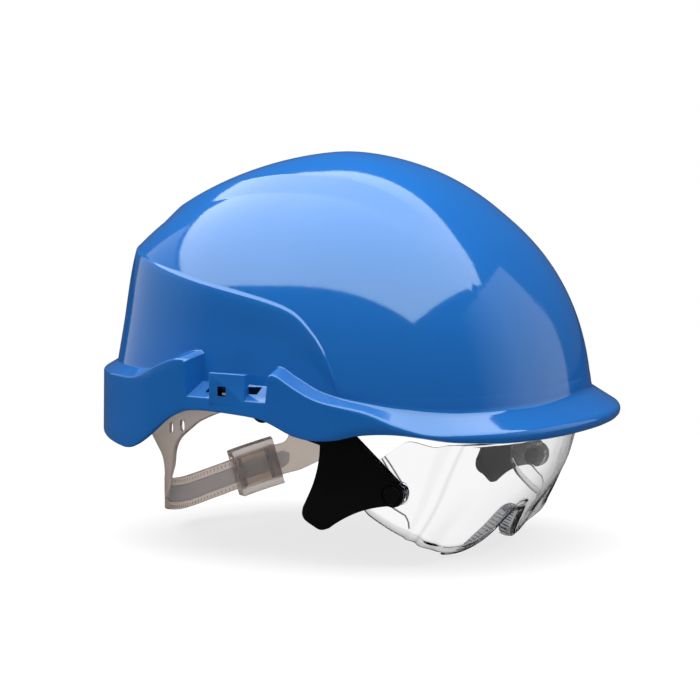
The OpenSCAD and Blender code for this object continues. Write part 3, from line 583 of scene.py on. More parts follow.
def box_parts(boxes):
    """Points and faces of plain boxes, each given by its two corners."""
    points, faces = [], []
    for low, high in boxes:
        b = len(points)
        points += [(x, y, z) for x in (low[0], high[0]) for y in (low[1], high[1]) for z in (low[2], high[2])]
        faces += [tuple(b + i for i in f) for f in
                  ((0, 1, 3, 2), (4, 6, 7, 5), (0, 4, 5, 1), (2, 3, 7, 6), (0, 2, 6, 4), (1, 5, 7, 3))]
    return points, faces


def gathered(parts):
    points, faces = [], []
    for p, f in parts:
        base = len(points)
        points += list(p)
        faces += [tuple(i + base for i in face) for face in f]
    return points, faces


def lathe(profile, start, direction, count=48):
    """Points and faces turned round an axis, from (along, radius) pairs."""
    way = Vector(direction).normalized()
    side = way.orthogonal().normalized()
    other = way.cross(side)
    turns = [2 * math.pi * i / count for i in range(count)]
    rows = []
    for d, r in profile:
        mid = Vector(start) + way * d
        rows.append([tuple(mid + (side * math.cos(a) + other * math.sin(a)) * r) for a in turns])
    return skin(rows)


def strip_section(low, high, outer, inner, count, margin, corner):
    """Height and offset pairs round a flat strip; a corner's points lie so far in from the face and the edge."""
    faces = spread(low + margin, high - margin, count)
    row = [(z, outer) for z in faces]
    row += [(high - d, outer - o) for o, d in corner] + [(high - d, inner + o) for o, d in reversed(corner)]
    row += [(z, inner) for z in reversed(faces)]
    return row + [(low + d, inner + o) for o, d in corner] + [(low + d, outer - o) for o, d in reversed(corner)]


def rounded_copy(node, name, width, segments=2):
    """A copy of a CAD node with its sharp edges rounded."""
    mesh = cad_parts[node].data.copy()
    mesh.materials.clear()
    bm = bmesh.new()
    bm.from_mesh(mesh)
    bmesh.ops.remove_doubles(bm, verts=bm.verts, dist=3e-6)
    bmesh.ops.dissolve_limit(bm, angle_limit=math.radians(0.6), verts=bm.verts, edges=bm.edges)
    bm.to_mesh(mesh)
    bm.free()
    obj = bpy.data.objects.new(name, mesh)
    bpy.context.scene.collection.objects.link(obj)
    round_edges(obj, width, segments)
    soften(obj)
    return obj


def seat(obj, body, slot, material, *nodes):
    """Gives a piece its finish, hides the CAD nodes it stands for and hangs it on the body it rides on."""
    obj.data.materials.clear()
    obj.data.materials.append(material)
    if nodes:
        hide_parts(*nodes)
    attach(obj, body)


def seat_copy(node, name, body, slot, material, width, segments=2):
    """A piece that is a rounded copy of the CAD node it stands for."""
    seat(rounded_copy(node, name, width, segments), body, slot, material, node)


# Repeated pieces

def socket_id(tree, name):
    return next(s.identifier for s in tree.interface.items_tree if s.name == name and s.in_out == "INPUT")


def repeat_tree(name):
    """Geometry nodes that stand a small shape at every point of a mesh and turn it to the point's heading."""
    if name in bpy.data.node_groups:
        return bpy.data.node_groups[name]
    tree = bpy.data.node_groups.new(name, "GeometryNodeTree")
    face = tree.interface
    face.new_socket(name="Points", in_out="INPUT", socket_type="NodeSocketGeometry")
    for label, default in (("Length", 0.003), ("Width", 0.0006), ("Height", 0.0004)):
        item = face.new_socket(name=label, in_out="INPUT", socket_type="NodeSocketFloat")
        item.default_value = default
    face.new_socket(name="Finish", in_out="INPUT", socket_type="NodeSocketMaterial")
    face.new_socket(name="Pieces", in_out="OUTPUT", socket_type="NodeSocketGeometry")
    nodes, join = tree.nodes, tree.links.new
    start, end = nodes.new("NodeGroupInput"), nodes.new("NodeGroupOutput")
    shape = nodes.new("GeometryNodeMeshUVSphere")
    for label, value in (("Segments", 8), ("Rings", 6), ("Radius", 0.5)):
        shape.inputs[label].default_value = value
    size = nodes.new("ShaderNodeCombineXYZ")
    for label, axis in (("Length", "X"), ("Width", "Y"), ("Height", "Z")):
        join(start.outputs[label], size.inputs[axis])
    turn = nodes.new("FunctionNodeAxesToRotation")
    turn.primary_axis, turn.secondary_axis = "X", "Z"
    for label, axis in (("ahead", "Primary Axis"), ("up", "Secondary Axis")):
        way = nodes.new("GeometryNodeInputNamedAttribute")
        way.data_type = "FLOAT_VECTOR"
        way.inputs["Name"].default_value = label
        join(way.outputs["Attribute"], turn.inputs[axis])
    stand = nodes.new("GeometryNodeInstanceOnPoints")
    join(start.outputs["Points"], stand.inputs["Points"])
    join(shape.outputs["Mesh"], stand.inputs["Instance"])
    join(turn.outputs["Rotation"], stand.inputs["Rotation"])
    join(size.outputs["Vector"], stand.inputs["Scale"])
    real = nodes.new("GeometryNodeRealizeInstances")
    join(stand.outputs["Instances"], real.inputs["Geometry"])
    even = nodes.new("GeometryNodeSetShadeSmooth")
    join(real.outputs["Geometry"], even.inputs["Geometry"])
    finish = nodes.new("GeometryNodeSetMaterial")
    join(even.outputs["Geometry"], finish.inputs["Geometry"])
    join(start.outputs["Finish"], finish.inputs["Material"])
    join(finish.outputs["Geometry"], end.inputs["Pieces"])
    return tree


def repeated(name, places, size, material):
    """One mesh of small rounded bars; a place is a point, the way it lies and the way it faces."""
    obj = add_mesh(name, [p for p, _, _ in places], [], turn_out=False)
    for label, k in (("ahead", 1), ("up", 2)):
        layer = obj.data.attributes.new(label, "FLOAT_VECTOR", "POINT")
        layer.data.foreach_set("vector", [c for place in places for c in place[k]])
    tree = repeat_tree("Small bars")
    modifier = obj.modifiers.new("Small bars", "NODES")
    modifier.node_group = tree
    for label, value in zip(("Length", "Width", "Height"), size):
        modifier[socket_id(tree, label)] = value * MM
    modifier[socket_id(tree, "Finish")] = material
    settle(obj)
    for label in ("ahead", "up"):
        layer = obj.data.attributes.get(label)
        if layer:
            obj.data.attributes.remove(layer)
    return obj


# Finishes

class Wiring:
    """Short ways to add the common nodes of one shader tree."""

    def __init__(self, tree):
        self.nodes, self.join = tree.nodes, tree.links.new

    def feed(self, socket, value):
        """Links an output to a socket, or sets a plain value on it."""
        if isinstance(value, bpy.types.NodeSocket):
            self.join(value, socket)
        else:
            socket.default_value = value

    def node(self, kind, vector=None, **values):
        """A node with plain values or links on its named inputs."""
        node = self.nodes.new(kind)
        if vector is not None:
            self.join(vector, node.inputs[0])
        for label, value in values.items():
            self.feed(node.inputs[label.replace("_", " ")], value)
        return node

    def place(self, kind="Object"):
        return self.nodes.new("ShaderNodeTexCoord").outputs[kind]

    def split(self, vector):
        return self.node("ShaderNodeSeparateXYZ", vector).outputs

    def math(self, operation, *values, clamp=False):
        node = self.nodes.new("ShaderNodeMath")
        node.operation, node.use_clamp = operation, clamp
        for socket, value in zip(node.inputs, values):
            self.feed(socket, value)
        return node.outputs[0]

    def vector(self, operation, value, **values):
        node = self.nodes.new("ShaderNodeVectorMath")
        node.operation = operation
        self.join(value, node.inputs[0])
        for label, number in values.items():
            node.inputs[label].default_value = number
        return node.outputs

    def ramp(self, value, low, high, to_low=0.0, to_high=1.0):
        node = self.node("ShaderNodeMapRange", value, From_Min=low, From_Max=high, To_Min=to_low, To_Max=to_high)
        node.clamp = True
        return node.outputs["Result"]

    def noise(self, vector, scale, detail):
        return self.node("ShaderNodeTexNoise", vector, Scale=scale, Detail=detail, Roughness=0.55).outputs["Fac"]

    def blend(self, factor, low, high):
        node = self.nodes.new("ShaderNodeMix")
        node.data_type = "RGBA"
        self.join(factor, node.inputs["Factor"])
        for socket, value in zip([s for s in node.inputs if s.type == "RGBA"], (low, high)):
            self.feed(socket, value if isinstance(value, bpy.types.NodeSocket) else (*value[:3], 1.0))
        return next(s for s in node.outputs if s.type == "RGBA")

    def bump(self, height, strength, distance):
        return self.node("ShaderNodeBump", Strength=strength, Distance=distance, Height=height).outputs["Normal"]

    def group(self, name, **values):
        """A shared effect; its tree is built the first time it is used."""
        node = self.nodes.new("ShaderNodeGroup")
        node.node_tree = bpy.data.node_groups.get(name) or effect_tree(name)
        for label, value in values.items():
            node.inputs[label].default_value = value
        return node.outputs


def effect_tree(name):
    build, inputs, outputs = EFFECTS[name]
    tree = bpy.data.node_groups.new(name, "ShaderNodeTree")
    for label, default in inputs:
        item = tree.interface.new_socket(name=label, in_out="INPUT", socket_type="NodeSocketFloat")
        item.default_value = default
    for label in outputs:
        tree.interface.new_socket(name=label, in_out="OUTPUT", socket_type="NodeSocketFloat")
    start, end = tree.nodes.new("NodeGroupInput"), tree.nodes.new("NodeGroupOutput")
    build(Wiring(tree), start.outputs, end.inputs)
    return tree


def moulded_grain(w, given, result):
    """A fine grain and a slow cloud of tone."""
    place = w.place()
    w.join(w.noise(place, given["Scale"], 2.0), result["Height"])
    w.join(w.ramp(w.noise(place, given["Cloud"], 3.0), 0.3, 0.7), result["Tone"])


def handling_marks(w, given, result):
    """Short hair scratches where there are dull spots."""
    place = w.place()
    stretch = w.node("ShaderNodeMapping", place, Rotation=(0.4, 0.9, 0.3), Scale=(1.0, 14.0, 14.0))
    hair = w.ramp(w.noise(stretch.outputs["Vector"], given["Scale"], 2.0), 0.66, 0.72)
    patch = w.ramp(w.noise(place, 24.0, 2.0), 0.5, 0.66)
    both = w.math("MULTIPLY", hair, patch)
    w.join(w.math("MULTIPLY", both, given["Amount"], clamp=True), result["Mask"])


def woven_threads(w, given, result):
    """A plain weave on a UV map in millimetres; its tone is painted shade, darker in the weave's hollows and lighter
    on its crests, with a random fuzz on top.
    """
    split = w.split(w.place("UV"))
    waves = []
    for axis, label in (("X", "Across"), ("Y", "Along")):
        turns = w.math("DIVIDE", split[axis], given[label])
        waves.append(w.math("SINE", w.math("MULTIPLY", turns, 2 * math.pi)))
    height = w.ramp(w.math("MULTIPLY", *waves), -1.0, 1.0)
    w.join(height, result["Height"])
    fuzz = w.noise(w.place(), 900.0, 2.0)
    w.join(w.ramp(w.math("ADD", height, fuzz), 0.4, 1.6), result["Tone"])


EFFECTS = {
    "Moulded grain": (moulded_grain, (("Scale", 2500.0), ("Cloud", 18.0)), ("Height", "Tone")),
    "Handling marks": (handling_marks, (("Scale", 60.0), ("Amount", 0.3)), ("Mask",)),
    "Woven threads": (woven_threads, (("Across", 1.2), ("Along", 1.2)), ("Height", "Tone")),
}


def new_material(name):
    mat = bpy.data.materials.new(name)
    mat.use_nodes = True
    return mat, Wiring(mat.node_tree), mat.node_tree.nodes["Principled BSDF"].inputs


def shaded(colour, share):
    return tuple(c * share for c in colour[:3])


def tone_and_shade_colour(w, base, second):
    """A second colour where the mesh says so; on the shell and the lens it is painted shade."""
    part = w.nodes.new("ShaderNodeAttribute")
    part.attribute_name = "second_tone"
    return w.blend(part.outputs["Fac"], base, second)


def plastic(name, colour, rough, grain, bump, scuffs, ior=1.5, tint=(1, 1, 1), transmission=0.0, tone=0.08,
            second=None):
    """Moulded plastic: grain, a slow change of tone and handling marks. A second colour, where given, is painted
    shade on the shell and the tongue's own tone on the harness.
    """
    if name in bpy.data.materials:
        return bpy.data.materials[name]
    mat, w, shader = new_material(name)
    surface = w.group("Moulded grain", Scale=grain, Cloud=16.0)
    marks = w.group("Handling marks", Scale=70.0, Amount=scuffs)["Mask"]
    base = w.blend(surface["Tone"], shaded(colour, 1 - tone), shaded(colour, 1 + tone))
    if second is not None:
        base = tone_and_shade_colour(w, base, second)
    lighter = tuple(mix(c, 0.5, 0.25) for c in colour[:3])
    w.join(w.blend(marks, base, lighter), shader["Base Color"])
    dull = w.math("MULTIPLY_ADD", surface["Height"], 0.12, max(0.0, rough - 0.06))
    w.join(w.math("ADD", dull, marks, clamp=True), shader["Roughness"])
    w.join(w.bump(surface["Height"], bump, 0.0002), shader["Normal"])
    shader["Transmission Weight"].default_value = transmission
    shader["Specular Tint"].default_value = (*tint, 1.0)
    shader["IOR"].default_value = ior
    return mat


def clear_plastic(name, colour, rough, ior=1.5, second=None):
    """Clear moulded plastic with faint rub marks in its polish, greyer where it is seen edge on: the second colour is
    painted shade, laid where the mesh says so and at the edges.
    """
    if name in bpy.data.materials:
        return bpy.data.materials[name]
    mat, w, shader = new_material(name)
    marks = w.group("Handling marks", Scale=50.0, Amount=0.05)["Mask"]
    surface = w.group("Moulded grain", Scale=900.0, Cloud=10.0)
    base = w.blend(surface["Tone"], shaded(colour, 0.985), colour)
    if second is not None:
        base = tone_and_shade_colour(w, base, second)
        # Painted shade: the second colour darkens the plastic where it is seen edge on
        slant = w.node("ShaderNodeLayerWeight", Blend=0.5)
        base = w.blend(w.ramp(slant.outputs["Facing"], 0.6, 0.95, 0.0, 0.88), base, second)
    w.join(base, shader["Base Color"])
    w.join(w.math("ADD", marks, rough, clamp=True), shader["Roughness"])
    shader["Transmission Weight"].default_value = 1.0
    shader["IOR"].default_value = ior
    return mat


def cloth(name, colour, across, along, rough=0.85, dots=None):
    """Woven or knitted cloth on a UV map in millimetres, with a grid of small holes where dots gives its pitch; the
    holes are painted dark as shade and sunk by bump.
    """
    if name in bpy.data.materials:
        return bpy.data.materials[name]
    mat, w, shader = new_material(name)
    weave = w.group("Woven threads", Across=across, Along=along)
    # Partly painted shade: the weave's tone darkens the cloth in its hollows, with a random fuzz of tone
    base = w.blend(weave["Tone"], shaded(colour, 0.55), shaded(colour, 1.25))
    height = weave["Height"]
    if dots:
        split = w.split(w.place("UV"))
        far = []
        for axis in ("X", "Y"):
            part = w.math("SUBTRACT", w.math("FRACT", w.math("DIVIDE", split[axis], dots)), 0.5)
            far.append(w.math("MULTIPLY", part, part))
        hole = w.ramp(w.math("ADD", *far), 0.03, 0.05, 1.0, 0.0)
        # Painted shade: the holes are darkened as shade inside them would make them
        base = w.blend(hole, base, shaded(colour, 0.12))
        height = w.math("SUBTRACT", height, w.math("MULTIPLY", hole, 3.0))
    w.join(base, shader["Base Color"])
    w.join(w.ramp(weave["Tone"], 0.0, 1.0, rough, rough - 0.12), shader["Roughness"])
    w.join(w.bump(height, 0.7, 0.0004), shader["Normal"])
    shader["Sheen Weight"].default_value = 0.25
    return mat


# Settings

class ShellSettings(bpy.types.PropertyGroup):
    colour: FloatVectorProperty(name="Shell colour", description="Colour of the moulded shell", subtype="COLOR",
                                size=3, min=0, max=1, default=(0.01, 0.138, 0.48))
    shine_colour: FloatVectorProperty(name="Shine colour", description="Tint of the shell's reflections",
                                      subtype="COLOR", size=3, min=0, max=1, default=(0.72, 0.92, 1.0))
    wall: FloatProperty(name="Wall", description="Thickness of the shell wall", unit="LENGTH", default=0.0026)
    crown_rise: FloatProperty(name="Crown rise", description="How far the crown band stands up", unit="LENGTH",
                              default=0.0022)
    crease_step: FloatProperty(name="Crease step", description="How far the wall stands out below the crease",
                               unit="LENGTH", default=0.0011)


class ShieldSettings(bpy.types.PropertyGroup):
    lens_colour: FloatVectorProperty(name="Lens colour", description="Tint of the clear lens", subtype="COLOR",
                                     size=3, min=0, max=1, default=(0.985, 0.985, 0.99))
    # This colour is painted shade along the lens's rim, fold lines and edges, not a tint of the plastic
    rim_shade_colour: FloatVectorProperty(name="Rim painted shade", description="Tint along the rim and the lines of the lens",
                                    subtype="COLOR", size=3, min=0, max=1, default=(0.2, 0.2, 0.21))
    lens_wall: FloatProperty(name="Lens wall", description="Thickness of the lens", unit="LENGTH", default=0.0022)
    rim_bead: FloatProperty(name="Rim bead", description="Extra thickness along the lower rim of the lens",
                            unit="LENGTH", default=0.0004)
    arm_colour: FloatVectorProperty(name="Arm colour", description="Colour of the carrier arms", subtype="COLOR",
                                    size=3, min=0, max=1, default=(0.004, 0.004, 0.0042))
    nose_colour: FloatVectorProperty(name="Nose colour", description="Tint of the soft nose piece", subtype="COLOR",
                                     size=3, min=0, max=1, default=(0.32, 0.32, 0.33))
    rib_pitch: FloatProperty(name="Nose rib pitch", description="Spacing of the ribs on the nose piece",
                             unit="LENGTH", default=0.0042)


class HarnessSettings(bpy.types.PropertyGroup):
    plastic_colour: FloatVectorProperty(name="Harness colour", description="Colour of the translucent harness",
                                        subtype="COLOR", size=3, min=0, max=1, default=(0.8, 0.7, 0.63))
    tongue_colour: FloatVectorProperty(name="Tongue colour", description="Tone where the tongue lies on the band",
                                       subtype="COLOR", size=3, min=0, max=1, default=(0.84, 0.84, 0.86))
    buckle_colour: FloatVectorProperty(name="Buckle colour", description="Colour of the sliding buckle",
                                       subtype="COLOR", size=3, min=0, max=1, default=(0.82, 0.74, 0.69))
    web_colour: FloatVectorProperty(name="Webbing colour", description="Colour of the woven straps",
                                    subtype="COLOR", size=3, min=0, max=1, default=(0.2, 0.2, 0.21))
    pad_colour: FloatVectorProperty(name="Sweatband colour", description="Colour of the padded sweatband",
                                    subtype="COLOR", size=3, min=0, max=1, default=(0.05, 0.05, 0.055))
    strap_width: FloatProperty(name="Strap width", description="Width of the woven straps", unit="LENGTH",
                               default=0.02)
    tick_pitch: FloatProperty(name="Tick pitch", description="Spacing of the size marks on the nape band",
                              unit="LENGTH", default=0.0025)
    swell: IntProperty(name="Swell steps", description="Steps of the cloth run that fills the sweatband",
                       default=20, min=1, max=40)


class StageSettings(bpy.types.PropertyGroup):
    turn: FloatProperty(name="Camera turn", description="Camera azimuth round the helmet", subtype="ANGLE",
                        default=math.radians(30))
    rise: FloatProperty(name="Camera rise", description="Camera height above the horizon", subtype="ANGLE",
                        default=math.radians(7))
    distance: FloatProperty(name="Camera distance", description="From the camera to the helmet", unit="LENGTH",
                            default=2.0)
    top_light: FloatProperty(name="Top light", description="Strength of the soft light above", default=57.0)
    front_light: FloatProperty(name="Front light", description="Strength of the soft light in front", default=6.0)
    rear_light: FloatProperty(name="Rear light", description="Strength of the soft light behind", default=6.0)


# Pieces

class HELMET_OT_shell(bpy.types.Operator):
    """Builds the moulded shell with its crown band, crease, skirt and accessory slots"""
    bl_idname = "helmet.shell"
    bl_label = "Shell"

    def execute(self, context):
        size = context.scene.helmet_shell
        obj = self.moulding(*(v / MM for v in (size.wall, size.crown_rise, size.crease_step)))
        self.slots(obj)
        soften(obj, 34)
        # The second colour, far darker than the blue, is painted shade in the slots and windows
        blue = plastic("Blue gloss plastic", size.colour, rough=0.08, grain=420.0, bump=0.012, scuffs=0.05, ior=1.8,
                       tint=size.shine_colour, tone=0.03, second=shaded(size.colour, 0.08))
        seat(obj, "helmet", "shell_blue", blue, "shell")
        return {"FINISHED"}

    def moulding(self, wall, rise, step):
        """One skin through the profiles all round, closed at the crown outside and inside."""
        turns = shell_turns()
        profiles = {abs(t): shell_profile(abs(t), wall, rise, step) for t in turns}
        count, n = len(profiles[0]), len(turns)
        points, faces = skin([[around(t, *profiles[abs(t)][j]) for t in turns] for j in range(count)])
        top, last = len(points), (count - 1) * n
        points += [(DOME_CENTRE, 0, CROWN_HEIGHT + rise), (DOME_CENTRE, 0, CROWN_HEIGHT + rise - wall)]
        faces = faces[:-2] + [(top, (i + 1) % n, i) for i in range(n)]
        faces += [(top + 1, last + i, last + (i + 1) % n) for i in range(n)]
        return add_mesh("helmet_shell", points, faces)

    def slots(self, obj):
        """Adds the bridge blocks, cuts the slots and windows, and marks the faces that lie in their shade, where a
        darker blue is painted as shade.
        """
        middle = (NOTCH_FRONT + NOTCH_BACK) / 2 + 1
        window = middle + WINDOW_SHIFT
        sill = NOTCH_FLOOR + WINDOW_RAISE
        slot_in = wall_at(90, NOTCH_FLOOR + 3) + 0.6
        back = slot_in + SLOT_GAP
        face = back + BLOCK_THICK
        # Each form: its middle and width along the helmet, how far out it starts and ends, its foot and top
        forms = {
            "bridge_blocks": (middle, BLOCK_WIDTH, back, face, NOTCH_FLOOR - BLOCK_FOOT, BLOCK_TOP),
            "slot_cuts": (middle, SLOT_WIDTH, slot_in, back, NOTCH_FLOOR - SLOT_DEPTH, NOTCH_FLOOR + SLOT_DEPTH),
            "window_cuts": (window, WINDOW_SIDE, back - 1, face + 1, sill, sill + WINDOW_SIDE),
        }
        for name, (x, wide, near, far, low, high) in forms.items():
            boxes = []
            for side in (-1, 1):
                a, b = sorted((side * near, side * far))
                boxes.append(((x - wide / 2, a, low), (x + wide / 2, b, high)))
            form = add_mesh(name, *box_parts(boxes))
            if name == "bridge_blocks":
                round_edges(form, BLOCK_ROUND, 3)
                boolean(obj, form, "UNION")
            else:
                boolean(obj, form, "DIFFERENCE")

        def in_shade(polygon):
            x, y, z = (c / MM for c in polygon.center)
            in_slot = abs(x - middle) < SLOT_WIDTH / 2 + 0.1 and slot_in - 0.2 < abs(y) < back + 0.1
            in_window = (abs(x - window) < WINDOW_SIDE / 2 + 0.1 and back < abs(y) < face - 0.1
                         and abs(z - sill - WINDOW_SIDE / 2) < WINDOW_SIDE / 2 + 0.1)
            return abs(z - NOTCH_FLOOR) < SLOT_DEPTH + 0.2 and (in_slot or in_window)

        # Painted shade: these faces take the shell's darker second colour
        set_tone_and_shade(obj, [float(in_shade(polygon)) for polygon in obj.data.polygons], "FACE")


def arm_finish(context):
    colour = context.scene.helmet_shield.arm_colour
    return plastic("Black satin plastic", colour, rough=0.45, grain=2600.0, bump=0.16, scuffs=0.06, ior=1.35)


class HELMET_OT_hinges(bpy.types.Operator):
    """Builds the visor mounts, hinge pins and friction washers inside the shell"""
    bl_idname = "helmet.hinges"
    bl_label = "Shield hinges"

    def execute(self, context):
        black = arm_finish(context)
        rubber = plastic("Washer rubber", (0.1, 0.1, 0.1), rough=0.7, grain=1800.0, bump=0.25, scuffs=0.2)
        for side in ("right", "left"):
            seat_copy(f"visor_mount_{side}", f"hinge_plate_{side}", "helmet", "arm_black", black, 0.5)
            seat_copy(f"hinge_pin_{side}", f"swing_pin_{side}", "helmet", "arm_black", black, 0.4)
            seat_copy(f"friction_washer_{side}", f"swing_washer_{side}", "helmet", "washer_rubber", rubber, 0.2)
        return {"FINISHED"}


class HELMET_OT_arms(bpy.types.Operator):
    """Builds the two arms that carry the eye shield, and their push studs"""
    bl_idname = "helmet.arms"
    bl_label = "Carrier arms"

    def execute(self, context):
        black = arm_finish(context)
        gloss = plastic("Black gloss plastic", (0.004, 0.004, 0.0042), rough=0.35, grain=1500.0, bump=0.05,
                        scuffs=0.05, ior=1.35)
        for side in ("right", "left"):
            seat_copy(f"carrier_arm_{side}", f"shield_arm_{side}", "carrier", "arm_black", black, 0.55, 3)
            seat_copy(f"lens_button_{side}", f"push_stud_{side}", "carrier", "button_black", gloss, 0.3)
        return {"FINISHED"}


# Lens shape

def lens_x(y):
    return LENS_FRONT - LENS_ROUND + math.sqrt(LENS_ROUND ** 2 - y * y)


def side_y(x):
    return LENS_PIVOT[1] + ARM_TOE * (LENS_PIVOT[0] - x)


def lens_stations():
    """Plan points of the left half from the nose to the back of the side: x, y and how much of the fold is passed."""
    first, last = FOLD_Y - FOLD_REACH, FOLD_X - FOLD_REACH
    out = [(lens_x(y), y, 0.0) for y in [float(k) for k in range(int(first))] + [first]]
    start, turn, end = (lens_x(first), first), (FOLD_X, FOLD_Y), (last, side_y(last))
    out += [(*bend(start, turn, end, u), u) for u in spread(0, 1, 15)[1:-1]]
    return out + [(x, side_y(x), 1.0) for x in spread(last, LENS_BACK, 41)]


def lens_lean(z):
    return math.sqrt(LENS_REACH ** 2 - (z - LENS_ARC[1]) ** 2) - (LENS_FRONT - LENS_ARC[0])


def lens_shift(station, z):
    """How far the lens leans forward at a height."""
    x, y, fold = station
    share = min(1.0, (x - LENS_BACK) / (FOLD_X - LENS_BACK)) ** SHARE_POWER
    tuck = LENS_TUCK * smooth(*TUCK_HEIGHTS, -z) * (1 - smooth(TUCK_SIDE, FOLD_Y - 3, y))
    flared = mix(smooth(40, FOLD_Y, y), share, smooth(0.65, 1, fold))
    flare = FLARE * max(0.0, z - FLARE_FROM) ** 2 * flared
    return lens_lean(z) * share - tuck + flare


def lens_level(front, side, station):
    """Height of an edge of the lens, from its front list, its side list or both along the fold."""
    z = curve(front, min(FOLD_Y, station[1]))
    if station[2] == 0:
        return z
    on_side = z
    for _ in range(4):
        x = station[0] + lens_shift(station, on_side)
        on_side = curve(side, min(side[-1][0], max(side[0][0], x)))
    return mix(z, on_side, smooth(0.4, 1, station[2]))


def lens_low(station):
    return lens_level(LENS_LOW, SIDE_LOW, station)


def lens_high(station):
    return lens_level(FRONT_HIGH, SIDE_HIGH, station)


def lens_normal(stations, k):
    if k == 0:
        return (1.0, 0.0)
    a, b = stations[k - 1], stations[min(len(stations) - 1, k + 1)]
    dx, dy = b[0] - a[0], b[1] - a[1]
    size = math.hypot(dx, dy)
    return (dy / size, -dx / size)


def lens_point(stations, k, z, off):
    x, y, _ = stations[k]
    n = lens_normal(stations, k)
    d = lens_shift(stations[k], z)
    return (x + n[0] * off + d, y + n[1] * off - ARM_TOE * d * smooth(TOE_FROM, FOLD_Y - 2, y), z)


def lens_painted_shade(station, z, low):
    """Painted shade on the lens: how grey it looks along its rim and the lines of its fold, standing in for the shade
    of its thick edges and bends.
    """
    up, fold = z - low, station[2]
    tone = 0.01 + 0.52 * (1 - smooth(1.2, RIM_HEIGHT + 0.3, up))
    tone += 0.24 * (1 - smooth(0.2, 0.8, abs(up - RIM_HEIGHT))) + 0.12 * (1 - smooth(0.3, 1.1, up))
    tone += 0.07 * smooth(0.45, 0.65, fold) * (1 - smooth(0.8, 1.0, fold))
    tone += 0.22 * smooth(0.02, 0.1, fold) * (1 - smooth(0.14, 0.24, fold))
    return min(1.0, tone)


def side_ribs():
    """Thin raised lines on the outside of both side panels."""
    out = Vector((ARM_TOE, 1, 0)).normalized()
    turns = [math.pi * i / 4 for i in range(8)]
    parts = []
    for line in SIDE_LINES:
        way = [Vector((x, side_y(x), z)) + out * SIDE_LINE_OFF for x, z in line]
        for side in (1, -1):
            flip = Vector((1, side, 1))
            rows = []
            for k, p in enumerate(way):
                ahead = (way[min(len(way) - 1, k + 1)] - way[max(0, k - 1)]).normalized()
                wide = ahead.cross(out)
                rows.append([tuple((p + (wide * math.cos(a) + out * math.sin(a)) * SIDE_LINE_RADIUS) * flip)
                             for a in turns])
            parts.append(skin(rows))
    return gathered(parts)


def both_halves(halves):
    """Rows from the far right to the far left, from the rows of the left half."""
    return [[(x, -y, z) for x, y, z in row] for row in reversed(halves[1:])] + halves


class HELMET_OT_lens(bpy.types.Operator):
    """Builds the clear lens with its folded sides, thick rim and stud bosses"""
    bl_idname = "helmet.lens"
    bl_label = "Lens"

    def execute(self, context):
        size = context.scene.helmet_shield
        half, bead = size.lens_wall / MM / 2, size.rim_bead / MM
        stations = lens_stations()

        def section(k):
            low, high = lens_low(stations[k]), lens_high(stations[k])
            heights = [low + d for d in (0.35, 0.7, 1.1, 1.6, 2.2, 2.8, 3.3, 3.9)]
            heights += spread(low + 4.5, high - 0.6, 42)

            def thick(z):
                return half + bead * (1 - smooth(RIM_HEIGHT - 0.8, RIM_HEIGHT, z - low))

            rows = [(z, thick(z)) for z in heights]
            rows += [(high - d, half * f) for d, f in ((0.15, 0.75), (0, 0.3), (0, -0.3), (0.15, -0.75))]
            rows += [(z, -thick(z)) for z in reversed(heights)]
            rows += [(low + d, (half + bead) * f) for d, f in ((0.12, -0.75), (0, -0.35), (0, 0.35), (0.12, 0.75))]
            points = [lens_point(stations, k, z, off) for z, off in rows]
            return points, [lens_painted_shade(stations[k], p[2], low) for p in points]

        halves = [section(k) for k in range(len(stations))]
        painted_shades = [t for _, row in list(reversed(halves[1:])) + halves for t in row]
        obj = add_mesh("eye_lens", *skin(both_halves([row for row, _ in halves])))
        finder = KDTree(len(painted_shades))
        for i, v in enumerate(obj.data.vertices):
            finder.insert(v.co, i)
        finder.balance()
        self.stud_seats(obj, half)
        # Painted shade: greys the lens along its rim and the lines of its fold
        set_tone_and_shade(obj, [painted_shades[finder.find(v.co)[1]] for v in obj.data.vertices])
        soften(obj, 38)
        clear = clear_plastic("Clear lens", size.lens_colour, rough=0.0, second=size.rim_shade_colour)
        seat(obj, "eye_shield", "lens_clear", clear, "lens")
        ribs = add_mesh("lens_ribs", *side_ribs())
        soften(ribs, 60)
        # The ribs take the rim's painted shade colour, so they show as grey lines
        seat(ribs, "eye_shield", "lens_clear", clear_plastic("Clear lens rib", size.rim_shade_colour, rough=0.05, ior=1.3))
        return {"FINISHED"}

    def stud_seats(self, obj, half):
        """Round bosses on both sides, with the bores that turn on the studs."""
        x, y, z = LENS_PIVOT
        foot_y = y - half - 1.7
        tall = y + ARM_TOE * LENS_BOSS + half + 0.2 - foot_y
        for name, operation, start, radius, length, count in (
                ("stud_bosses", "UNION", foot_y, LENS_BOSS, tall, 64),
                ("stud_bores", "DIFFERENCE", 60, STUD_BORE, 40, 48)):
            rods = [lathe(((0, radius), (length, radius)), (x, side * start, z), (0, side, 0), count)
                    for side in (-1, 1)]
            boolean(obj, add_mesh(name, *gathered(rods)), operation)


